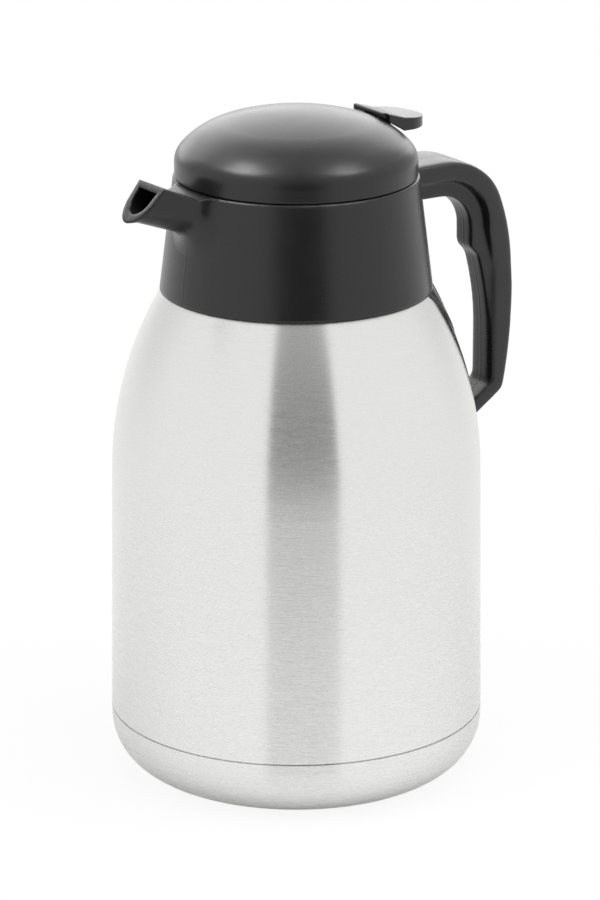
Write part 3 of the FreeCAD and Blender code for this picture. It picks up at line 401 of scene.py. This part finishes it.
@dataclass
class Palette:
    """Finishes made once and shared by the pieces that wear them."""

    made: dict[Finish, bpy.types.Material] = field(default_factory=dict)

    def of(self, finish: Finish) -> bpy.types.Material:
        """Give a finish's material, built on first use.

        Args:
            finish: The finish.

        Returns:
            Its material.
        """
        if finish not in self.made:
            self.made[finish] = finish.material()
        return self.made[finish]


def dress(material: bpy.types.Material, *nodes: str) -> None:
    """Give CAD nodes a finish on every one of their slots.

    Args:
        material: Finish for them.
        nodes: Names of the CAD nodes.
    """
    for node in nodes:
        mesh = frame["nodes"][node].data
        if not mesh.materials:
            mesh.materials.append(material)
        for i in range(len(mesh.materials)):
            mesh.materials[i] = material
        LOG.info("dressed %s in %s", node, material.name)


def copy_node(node: str, name: str) -> bpy.types.Object:
    """Start a piece from the merged shape of a CAD node, alone in the selection.

    Args:
        node: Name of the CAD node.
        name: Name of the new piece.

    Returns:
        The piece, active and selected.
    """
    bpy.ops.object.select_all(action="DESELECT")
    piece = bpy.data.objects.new(name, frame["nodes"][node].data.copy())
    bpy.context.scene.collection.objects.link(piece)
    piece.select_set(True)
    bpy.context.view_layer.objects.active = piece
    bpy.ops.object.mode_set(mode="EDIT")
    bpy.ops.mesh.select_all(action="SELECT")
    bpy.ops.mesh.remove_doubles(threshold=MERGE)
    bpy.ops.object.mode_set(mode="OBJECT")
    return piece


def shape(piece: bpy.types.Object, kind: str, **settings: Any) -> None:
    """Add a modifier to the piece in hand, set it and apply it.

    Args:
        piece: Active object.
        kind: Blender's name of the modifier type.
        settings: Options of the modifier.
    """
    step = piece.modifiers.new(kind.lower(), kind)
    for key, value in settings.items():
        setattr(step, key, value)
    bpy.ops.object.modifier_apply(modifier=step.name)


def pick_faces(piece: bpy.types.Object, wanted: Callable[[bpy.types.MeshPolygon], bool]) -> None:
    """Select the faces of the piece in hand that pass a test, and stay in edit mode.

    Args:
        piece: Active object.
        wanted: Test of a face.
    """
    bpy.ops.object.mode_set(mode="EDIT")
    bpy.ops.mesh.select_all(action="DESELECT")
    bpy.ops.object.mode_set(mode="OBJECT")
    for face in piece.data.polygons:
        face.select = wanted(face)
    bpy.ops.object.mode_set(mode="EDIT")


def cut_away(place: Vector, facing: Vector) -> None:
    """Cut the piece in edit mode along a plane and drop what lies behind it.

    Args:
        place: Point on the plane.
        facing: Unit normal of the plane, towards what stays.
    """
    bpy.ops.mesh.select_all(action="SELECT")
    bpy.ops.mesh.bisect(plane_co=place, plane_no=facing, clear_inner=True, threshold=MERGE)


def settle(piece: bpy.types.Object, material: bpy.types.Material, body: str) -> None:
    """Give a new piece its finish and fix it to the body that it moves with.

    Args:
        piece: The new piece.
        material: Finish for it.
        body: CAD body that carries it.
    """
    piece.data.materials.clear()
    piece.data.materials.append(material)
    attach(piece, body)
    LOG.info("modelled %s, %d faces", piece.name, len(piece.data.polygons))


@dataclass
class Flask:
    """Double-walled steel flask with its base."""

    skin: BrushedStainless = BrushedStainless()
    liner: BrushedStainless = BrushedStainless(
        name="stainless_steel_spun_inside", pale="#E9E8E4", deep="#D9D8D3", roughness=0.28,
        line_pitch=0.8 * MM)
    seal: DrawnMetal = DrawnMetal("solder_glass_poured", "#B9B7B0", "#8E8C86", 0.4)

    def build(self, palette: Palette) -> None:
        """Dress the flask's walls, base and vacuum seal.

        Args:
            palette: Shared finishes.
        """
        dress(palette.of(self.skin), "outer_shell", "base_cap", "shell_bottom")
        dress(palette.of(self.liner), "liner_bottom", "inner_liner", "liner_shoulder")
        dress(palette.of(self.seal), "vacuum_seal", "getter")


@dataclass(frozen=True)
class CollarCone:
    """Outside of the collar, a cone that narrows upwards."""

    low: float = 177.1 * MM
    low_radius: float = 48.0 * MM
    slope: float = 0.123

    def proud(self, point: Vector) -> float:
        """Return how far a point stands outside the cone, measured level."""
        return math.hypot(point.x, point.y) - self.low_radius + (point.z - self.low) * self.slope


@dataclass
class Collar:
    """Moulded collar with the spout, its seal and the neck ring."""

    shell: MouldedPlastic = MouldedPlastic(
        "polypropylene_moulded_collar", **BLACK, parting=Parting.FRONT, edge_round=1.6 * MM)
    ring: MouldedPlastic = MouldedPlastic("polypropylene_moulded_neck_ring", **GREY)
    seal: MouldedSilicone = MouldedSilicone()
    cone: CollarCone = CollarCone()
    skin_cell: float = 0.6 * MM
    fillet_span: Span = (188.0 * MM, 217.0 * MM)
    fillet_half: float = 28.0 * MM
    fillet_reach: Span = (-1.2 * MM, 9.0 * MM)
    fillet_passes: int = 400
    fillet_sink: float = 0.1 * MM
    fillet_lap: int = 5
    fillet_wall: float = 0.6 * MM
    fillet_crease: float = 40.0
    bore_half: float = 9.25 * MM
    bore_floor: Span = (69.3 * MM, 212.4 * MM)
    bore_rise: float = 19.9

    def at_root(self, point: Vector) -> bool:
        """Tell whether a point of the collar lies where the spout grows out of it.

        Args:
            point: Place on the collar.

        Returns:
            True round the spout's root, outside the collar and the spout's bore.
        """
        beside = point.x < 0.0 and abs(point.y) < self.fillet_half
        level = self.fillet_span[0] < point.z < self.fillet_span[1]
        near = self.fillet_reach[0] < self.cone.proud(point) < self.fillet_reach[1]
        drop = (self.bore_floor[0] + point.x) * math.tan(math.radians(self.bore_rise))
        in_bore = abs(point.y) < self.bore_half and point.z > self.bore_floor[1] - drop
        return beside and level and near and not in_bore

    def stands_clear(self, skin: BVHTree, point: Vector) -> bool:
        """Tell whether a point of the fillet stands outside the collar, by the skin nearest to it."""
        place, normal, _, _ = skin.find_nearest(point)
        return (point - place).dot(normal) > 0.0

    def build_fillet(self, palette: Palette) -> None:
        """Model the soft fillet in the corner between spout and collar.

        It is the collar's own skin, eased round the spout's root and sunk a hair. What stays clear of the
        collar is kept, with a lap all round under the collar's skin, and thickened inwards.

        Args:
            palette: Shared finishes.
        """
        piece = copy_node("collar", "spout_fillet")
        shape(piece, "REMESH", mode="VOXEL", voxel_size=self.skin_cell)
        root = [v.index for v in piece.data.vertices if self.at_root(v.co)]
        piece.vertex_groups.new(name="root").add(root, 1.0, "REPLACE")
        shape(piece, "SMOOTH", factor=0.5, iterations=self.fillet_passes, vertex_group="root")
        shape(piece, "DISPLACE", strength=-self.fillet_sink, mid_level=0.0)
        skin = BVHTree.FromObject(frame["nodes"]["collar"], bpy.context.evaluated_depsgraph_get())
        inside = set(root)
        clear = {i for i in root if self.stands_clear(skin, piece.data.vertices[i].co)}
        pick_faces(piece, lambda face: not clear.isdisjoint(face.vertices)
                   and inside.issuperset(face.vertices))
        for _ in range(self.fillet_lap):
            bpy.ops.mesh.select_more()
        bpy.ops.mesh.select_all(action="INVERT")
        bpy.ops.mesh.delete(type="FACE")
        bpy.ops.object.mode_set(mode="OBJECT")
        shape(piece, "SOLIDIFY", thickness=self.fillet_wall, offset=-1.0)
        bpy.ops.object.shade_smooth_by_angle(angle=math.radians(self.fillet_crease))
        settle(piece, palette.of(self.shell), "jug")

    def build(self, palette: Palette) -> None:
        """Ease the spout's root, and dress the collar, its seal and the neck ring.

        Args:
            palette: Shared finishes.
        """
        self.build_fillet(palette)
        dress(palette.of(self.shell), "collar")
        dress(palette.of(self.ring), "neck_ring")
        dress(palette.of(self.seal), "neck_seal")


@dataclass
class Handle:
    """Arched handle with its grip strip, strap and screws.

    A corner of the flare is an angle round the jug in degrees, a radius and a height.
    """

    # The grip wears the lighter black, which is painted light for the fill that it catches.
    grip: MouldedPlastic = MouldedPlastic(
        "polypropylene_moulded_handle", **PAINTED_LIGHT_BLACK, parting=Parting.ALL_ROUND, edge_round=0.6 * MM)
    band: MouldedPlastic = MouldedPlastic("polypropylene_moulded_strap", **BLACK)
    screws: DrawnMetal = TURNED_STEEL
    cone: CollarCone = CollarCone()
    skin_cell: float = 0.5 * MM
    joint_gap: float = 0.3 * MM
    shrink_share: float = 0.7
    rounding_passes: int = 64
    root_margin: float = 2.2 * MM
    foot_corner: Span = (71.0 * MM, 134.0 * MM)
    flare_wall: float = 0.5 * MM
    flare_top: tuple[float, float, float] = (47.0, 48.3 * MM, 176.9 * MM)
    flare_low: tuple[float, float, float] = (14.0, 60.0 * MM, 148.0 * MM)
    flare_front: float = 20.0 * MM
    flare_outward: float = 0.3
    flare_crease: float = 40.0

    def meets_jug(self, point: Vector) -> bool:
        """Tell whether a point of the handle lies close to the collar or to the foot's seat."""
        at_foot = point.x < self.foot_corner[0] and point.z < self.foot_corner[1]
        return self.cone.proud(point) < self.root_margin or at_foot

    def build_grip(self, palette: Palette) -> None:
        """Model shell and grip strip as they look when closed up, one moulding with generous rounding.

        The two shapes are grown until their joint closes, skinned over as one, shrunk back and eased.
        The moulding keeps its crisp edge where it meets the jug.

        Args:
            palette: Shared finishes.
        """
        strip = copy_node("handle_insert", "handle_strip")
        piece = copy_node("handle_shell", "handle_grip")
        strip.select_set(True)
        bpy.ops.object.join()
        shape(piece, "DISPLACE", strength=self.joint_gap, mid_level=0.0)
        shape(piece, "REMESH", mode="VOXEL", voxel_size=self.skin_cell)
        shape(piece, "DISPLACE", strength=-self.shrink_share * self.joint_gap, mid_level=0.0)
        eased = [v.index for v in piece.data.vertices if not self.meets_jug(v.co)]
        piece.vertex_groups.new(name="eased").add(eased, 1.0, "REPLACE")
        shape(piece, "SMOOTH", factor=0.5, iterations=self.rounding_passes, vertex_group="eased")
        bpy.ops.object.shade_smooth()
        settle(piece, palette.of(self.grip), "jug")
        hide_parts("handle_shell", "handle_insert")

    def flare_point(self, corner: tuple[float, float, float], side: int) -> Vector:
        """Place a corner of the flare on one side of the handle, 1 or -1."""
        turn = math.radians(corner[0]) * side
        return Vector((corner[1] * math.cos(turn), corner[1] * math.sin(turn), corner[2]))

    def lies_inside(self, face: bpy.types.MeshPolygon) -> bool:
        """Tell whether a face of the steel's skin doesn't look outwards."""
        return face.normal.xy.dot(face.center.xy) < self.flare_outward * face.center.xy.length

    def build_flare(self, palette: Palette) -> None:
        """Model the flare that spreads the strap out along the collar's lower edge.

        It is cut from the steel's own outside and thickened, so that it lies on the shoulder.

        Args:
            palette: Shared finishes.
        """
        piece = copy_node("outer_shell", "strap_flare")
        bpy.ops.object.mode_set(mode="EDIT")
        cut_away(Vector((0.0, 0.0, self.flare_top[2])), Vector((0.0, 0.0, -1.0)))
        cut_away(Vector((self.flare_front, 0.0, 0.0)), Vector((1.0, 0.0, 0.0)))
        for side in (-1, 1):
            top, low = self.flare_point(self.flare_top, side), self.flare_point(self.flare_low, side)
            turn = math.radians(self.flare_top[0] + self.flare_low[0]) / 2 * side
            across = (low - top).cross(Vector((math.cos(turn), math.sin(turn), 0.0))).normalized()
            cut_away(top, across if across.z > 0 else -across)
        pick_faces(piece, self.lies_inside)
        bpy.ops.mesh.delete(type="FACE")
        bpy.ops.object.mode_set(mode="OBJECT")
        shape(piece, "SOLIDIFY", thickness=self.flare_wall, offset=1.0)
        bpy.ops.object.shade_smooth_by_angle(angle=math.radians(self.flare_crease))
        settle(piece, palette.of(self.band), "jug")

    def build(self, palette: Palette) -> None:
        """Model the grip and the flare, and dress the rest of the handle.

        Args:
            palette: Shared finishes.
        """
        dress(palette.of(self.grip), "handle_shell", "handle_insert")
        self.build_grip(palette)
        self.build_flare(palette)
        dress(palette.of(self.band), "handle_strap")
        dress(palette.of(self.screws), "handle_screws")


@dataclass
class PourLid:
    """Domed lid with the stopper that screws into the neck ring."""

    dome: MouldedPlastic = MouldedPlastic("polypropylene_moulded_dome", **BLACK)
    stopper: MouldedPlastic = MouldedPlastic("polypropylene_moulded_stopper", **GREY, roughness=0.4)
    gasket: MouldedSilicone = MouldedSilicone()
    screws: DrawnMetal = TURNED_STEEL

    def build(self, palette: Palette) -> None:
        """Dress the dome, the stopper, the gasket and the screws.

        Args:
            palette: Shared finishes.
        """
        dress(palette.of(self.dome), "lid_dome")
        dress(palette.of(self.stopper), "stopper_body", "stopper_deck")
        dress(palette.of(self.gasket), "stopper_gasket")
        dress(palette.of(self.screws), "lid_screws")


@dataclass
class PourValve:
    """Sprung valve that the lever lifts off its seat."""

    stem: MouldedPlastic = MouldedPlastic("acetal_moulded_stem", "#C9C8C2", "#DAD9D4", 0.34)
    plug: MouldedPlastic = MouldedPlastic("polypropylene_moulded_plug", **GREY, roughness=0.4)
    seal: MouldedSilicone = MouldedSilicone()
    wire: DrawnMetal = DrawnMetal("spring_wire_drawn", "#D2D2D0", "#A9A9A7", 0.2)
    travel: float = 6.139 * MM
    coil_crease: float = 50.0

    def build_coil(self, palette: Palette) -> None:
        """Make the coil from a copy of the spring, carried by the lid.

        Args:
            palette: Shared finishes.
        """
        piece = copy_node("valve_spring", "valve_coil")
        bpy.ops.object.shade_smooth_by_angle(angle=math.radians(self.coil_crease))
        settle(piece, palette.of(self.wire), "lid")
        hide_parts("valve_spring")
        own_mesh(piece)

    def build(self, palette: Palette) -> None:
        """Dress the stem, plug, seals and clip, and make the coil.

        Args:
            palette: Shared finishes.
        """
        dress(palette.of(self.stem), "valve_stem")
        dress(palette.of(self.plug), "valve_plug")
        dress(palette.of(self.seal), "valve_seal", "stem_seal")
        dress(palette.of(self.wire), "valve_spring", "stem_clip")
        self.build_coil(palette)


@dataclass
class ThumbLever:
    """Thumb lever on its pin at the back of the dome."""

    pad: MouldedPlastic = MouldedPlastic("polypropylene_moulded_lever", **BLACK)
    pin: DrawnMetal = DrawnMetal("stainless_steel_drawn_pin", "#D2D2D0", "#B0B0AE", 0.2)

    def build(self, palette: Palette) -> None:
        """Dress the lever and its pin."""
        dress(palette.of(self.pad), "lever")
        dress(palette.of(self.pin), "lever_pin")


MOULDINGS = ("collar", "spout_fillet", "handle_grip", "strap_flare", "handle_strap", "lid_dome", "lever")


@dataclass
class Softbox:
    """Diffused lamp that faces the jug from a bearing round it and an angle above the horizon."""

    name: str
    bearing: float
    climb: float
    distance: float
    size: Span
    power: float
    reach: Reach = Reach.ROOM

    def build(self, target: Vector) -> None:
        """Hang the lamp, point it at the jug and keep it to what it is for.

        Args:
            target: Point that the lamp faces.
        """
        turn, rise = math.radians(self.bearing), math.radians(self.climb)
        level = math.cos(rise)
        away = Vector((math.sin(turn) * level, -math.cos(turn) * level, math.sin(rise)))
        lamp = bpy.data.lights.new(self.name, "AREA")
        lamp.shape = "RECTANGLE"
        lamp.size, lamp.size_y = self.size
        lamp.energy = self.power
        holder = bpy.data.objects.new(self.name, lamp)
        bpy.context.scene.collection.objects.link(holder)
        holder.location = target + away * self.distance
        holder.rotation_mode = "QUATERNION"
        holder.rotation_quaternion = (-away).to_track_quat("-Z", "Y")
        holder.visible_camera = False
        if self.reach is Reach.ROOM:
            holder.visible_glossy = False
            return
        group = bpy.data.collections.new(self.name + "_lights")
        for node in MOULDINGS:
            group.objects.link(frame["nodes"].get(node) or bpy.data.objects[node])
        holder.light_linking.receiver_collection = group


@dataclass
class Studio:
    """White table and softboxes in a white room with a dark gap behind the camera, and the camera."""

    table_size: float = 14.0
    table_cells: int = 8
    table_front: float = 0.62
    table_drop: float = 0.05 * MM
    table_hole: float = 40.0 * MM
    table_colour: str = "#E8E8E8"
    table_gloss: Span = (0.85, 1.0)
    fibre: float = 25.0 * MM
    shade_start: float = 0.15
    shade_end: float = 0.34
    shade_white: float = 0.90
    room_level: float = 0.55
    gap_bearing: float = -29.7
    gap_half: float = 21.8
    gap_soft: float = 1.5
    gap_low: float = 0.07
    gap_high: float = 0.50
    gap_climb: Span = (0.0, 40.0)
    flank_dip: float = 0.18
    flank_span: tuple[float, float, float, float] = (95.0, 138.0, 150.0, 176.0)
    camera_place: tuple[float, float, float] = (-0.8377, -1.2443, 0.6002)
    camera_turn: tuple[float, float, float] = (72.133, 0.0, -34.0)
    camera_lens: float = 177.64
    camera_sensor: float = 36.0
    aim: tuple[float, float, float] = (0.0, 0.0, 0.2)
    boxes: tuple[Softbox, ...] = (
        Softbox("softbox_top", 20.0, 80.0, 1.4, (1.3, 1.3), 14.0),
        Softbox("softbox_left", -95.0, 24.0, 1.6, (1.1, 1.1), 11.0),
        Softbox("softbox_right", 40.0, 24.0, 1.6, (1.1, 1.1), 10.0),
        Softbox("edge_left", -107.0, 55.0, 1.2, (0.48, 0.40), 7.4, Reach.MOULDINGS),
        Softbox("edge_right", 35.0, 54.0, 1.2, (0.42, 0.42), 3.7, Reach.MOULDINGS),
        Softbox("glow_behind", 154.0, 26.0, 1.2, (2.1, 1.00), 10.6, Reach.MOULDINGS),
        Softbox("glow_above", 154.0, 60.0, 1.2, (2.1, 0.45), 2.2, Reach.MOULDINGS),
    )

    def paper(self) -> bpy.types.Material:
        """Make the table's paper, white away from the jug and still taking its shadow close by.

        It is clear from below and inside the foot ring, so that the base can be looked at.

        Returns:
            The material.
        """
        material, tree, output = new_material("paper_sheet_matt")
        place = add_node(tree, "ShaderNodeTexCoord", {}, {}).outputs["Object"]
        fibre = add_node(tree, "ShaderNodeTexNoise", {"Scale": 1 / self.fibre, "Detail": 3.0},
                         {"Vector": place})
        rough = add_node(tree, "ShaderNodeMapRange", {
            "To Min": self.table_gloss[0], "To Max": self.table_gloss[1]}, {"Value": fibre.outputs["Fac"]})
        sheet = add_node(tree, "ShaderNodeBsdfPrincipled", {
            "Base Color": linear(self.table_colour), "Specular IOR Level": 0.0},
            {"Roughness": rough.outputs[0]})
        white = add_node(tree, "ShaderNodeEmission", {"Color": WHITE, "Strength": 1.0}, {})
        away = add_node(tree, "ShaderNodeVectorMath", {"operation": "LENGTH"}, {0: place})
        fade = add_node(tree, "ShaderNodeMapRange", {
            "interpolation_type": "SMOOTHSTEP", "From Min": self.shade_start, "From Max": self.shade_end},
            {"Value": away.outputs["Value"]})
        path = add_node(tree, "ShaderNodeLightPath", {}, {}).outputs
        clear = add_node(tree, "ShaderNodeMath", {"operation": "MAXIMUM"},
                         {0: path["Is Glossy Ray"], 1: path["Is Transmission Ray"]})
        seen = add_node(tree, "ShaderNodeMath", {"operation": "MAXIMUM"},
                        {0: path["Is Camera Ray"], 1: clear.outputs[0]})
        far = add_node(tree, "ShaderNodeMath", {"operation": "MULTIPLY"},
                       {0: fade.outputs[0], 1: seen.outputs[0]})
        near = add_node(tree, "ShaderNodeMath", {"operation": "MULTIPLY", 1: self.shade_white},
                        {0: path["Is Camera Ray"]})
        share = add_node(tree, "ShaderNodeMath", {"operation": "MAXIMUM"},
                         {0: far.outputs[0], 1: near.outputs[0]})
        shown = add_node(tree, "ShaderNodeMixShader", {},
                         {0: share.outputs[0], 1: sheet.outputs[0], 2: white.outputs[0]})
        inside = add_node(tree, "ShaderNodeMath", {"operation": "LESS_THAN", 1: self.table_hole},
                          {0: away.outputs["Value"]})
        below = add_node(tree, "ShaderNodeNewGeometry", {}, {}).outputs["Backfacing"]
        hole = add_node(tree, "ShaderNodeMath", {"operation": "MAXIMUM"}, {0: inside.outputs[0], 1: below})
        glass = add_node(tree, "ShaderNodeBsdfTransparent", {}, {})
        laid = add_node(tree, "ShaderNodeMixShader", {},
                        {0: hole.outputs[0], 1: shown.outputs[0], 2: glass.outputs[0]})
        tree.links.new(laid.outputs[0], output.inputs[0])
        return material

    def build_table(self) -> None:
        """Lay the table a hair under the foot ring.

        Its front edge lies between the jug and the camera, out of the picture, so that what faces the
        camera mirrors the dark of the room past the edge.
        """
        bpy.ops.object.select_all(action="DESELECT")
        turn = math.radians(self.camera_turn[2])
        back = self.table_size / 2 - self.table_front
        bpy.ops.mesh.primitive_grid_add(
            x_subdivisions=self.table_cells, y_subdivisions=self.table_cells, size=self.table_size,
            location=(-math.sin(turn) * back, math.cos(turn) * back, -self.table_drop),
            rotation=(0.0, 0.0, turn))
        bpy.ops.object.transform_apply(location=True, rotation=True, scale=True)
        table = bpy.context.object
        table.name = "studio_table"
        table.data.materials.append(self.paper())

    def build_room(self) -> None:
        """Surround the jug with white, broken by the dark of the room behind the camera."""
        world = bpy.data.worlds.new("studio_room")
        world.use_nodes = True
        bpy.context.scene.world = world
        tree = world.node_tree
        tree.nodes.clear()
        turn = math.radians(self.gap_bearing)
        ahead = (math.sin(turn), -math.cos(turn), 0.0)
        aside = (math.cos(turn), math.sin(turn), 0.0)
        way = add_node(tree, "ShaderNodeTexCoord", {}, {}).outputs["Generated"]
        front = add_node(tree, "ShaderNodeVectorMath", {"operation": "DOT_PRODUCT", 1: ahead}, {0: way})
        across = add_node(tree, "ShaderNodeVectorMath", {"operation": "DOT_PRODUCT", 1: aside}, {0: way})
        angle = add_node(tree, "ShaderNodeMath", {"operation": "ARCTAN2"},
                         {0: across.outputs["Value"], 1: front.outputs["Value"]})
        swing = add_node(tree, "ShaderNodeMath", {"operation": "ABSOLUTE"}, {0: angle.outputs[0]})
        rise = add_node(tree, "ShaderNodeSeparateXYZ", {}, {0: way})
        climb = [math.sin(math.radians(a)) for a in self.gap_climb]
        dark = add_node(tree, "ShaderNodeMapRange", {
            "From Min": climb[0], "From Max": climb[1], "To Min": self.gap_low, "To Max": self.gap_high},
            {"Value": rise.outputs[2]})
        span = [math.radians(a) for a in self.flank_span]
        near = add_node(tree, "ShaderNodeMapRange", {
            "interpolation_type": "SMOOTHSTEP", "From Min": span[0], "From Max": span[1],
            "To Min": 1.0, "To Max": 1.0 - self.flank_dip}, {"Value": swing.outputs[0]})
        flank = add_node(tree, "ShaderNodeMapRange", {
            "interpolation_type": "SMOOTHSTEP", "From Min": span[2], "From Max": span[3], "To Max": 1.0},
            {"Value": swing.outputs[0], "To Min": near.outputs[0]})
        gap = add_node(tree, "ShaderNodeMapRange", {
            "interpolation_type": "SMOOTHSTEP",
            "From Min": math.radians(self.gap_half - self.gap_soft),
            "From Max": math.radians(self.gap_half + self.gap_soft)},
            {"Value": swing.outputs[0], "To Min": dark.outputs[0], "To Max": flank.outputs[0]})
        path = add_node(tree, "ShaderNodeLightPath", {}, {}).outputs
        plain = add_node(tree, "ShaderNodeBackground", {"Color": WHITE, "Strength": self.room_level}, {})
        white = add_node(tree, "ShaderNodeBackground", {"Color": WHITE, "Strength": 1.0}, {})
        mirror = add_node(tree, "ShaderNodeBackground", {"Color": WHITE}, {"Strength": gap.outputs[0]})
        glossy = add_node(tree, "ShaderNodeMixShader", {},
                          {0: path["Is Glossy Ray"], 1: plain.outputs[0], 2: mirror.outputs[0]})
        clear = add_node(tree, "ShaderNodeMath", {"operation": "MAXIMUM"},
                         {0: path["Is Camera Ray"], 1: path["Is Transmission Ray"]})
        shown = add_node(tree, "ShaderNodeMixShader", {},
                         {0: clear.outputs[0], 1: glossy.outputs[0], 2: white.outputs[0]})
        add_node(tree, "ShaderNodeOutputWorld", {}, {"Surface": shown.outputs[0]})

    def build_camera(self) -> None:
        """Set the camera at the photograph's angle."""
        lens = bpy.data.cameras.new("studio_camera")
        lens.sensor_fit = "AUTO"
        lens.sensor_width = self.camera_sensor
        lens.lens = self.camera_lens
        camera = bpy.data.objects.new("studio_camera", lens)
        bpy.context.scene.collection.objects.link(camera)
        camera.location = self.camera_place
        camera.rotation_euler = Euler([math.radians(a) for a in self.camera_turn])
        bpy.context.scene.camera = camera

    def build(self) -> None:
        """Set up the whole studio."""
        self.build_table()
        self.build_room()
        for box in self.boxes:
            box.build(Vector(self.aim))
        self.build_camera()
        bpy.context.scene.view_settings.view_transform = "Standard"


def main() -> None:
    """Build the jug's sub-assemblies in order, then the studio."""
    logging.basicConfig(level=logging.INFO, format="%(name)s: %(message)s")
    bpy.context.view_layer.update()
    palette = Palette()
    for assembly in (Flask(), Collar(), Handle(), PourLid(), PourValve(), ThumbLever()):
        assembly.build(palette)
    Studio().build()


if __name__ == "__main__":
    main()
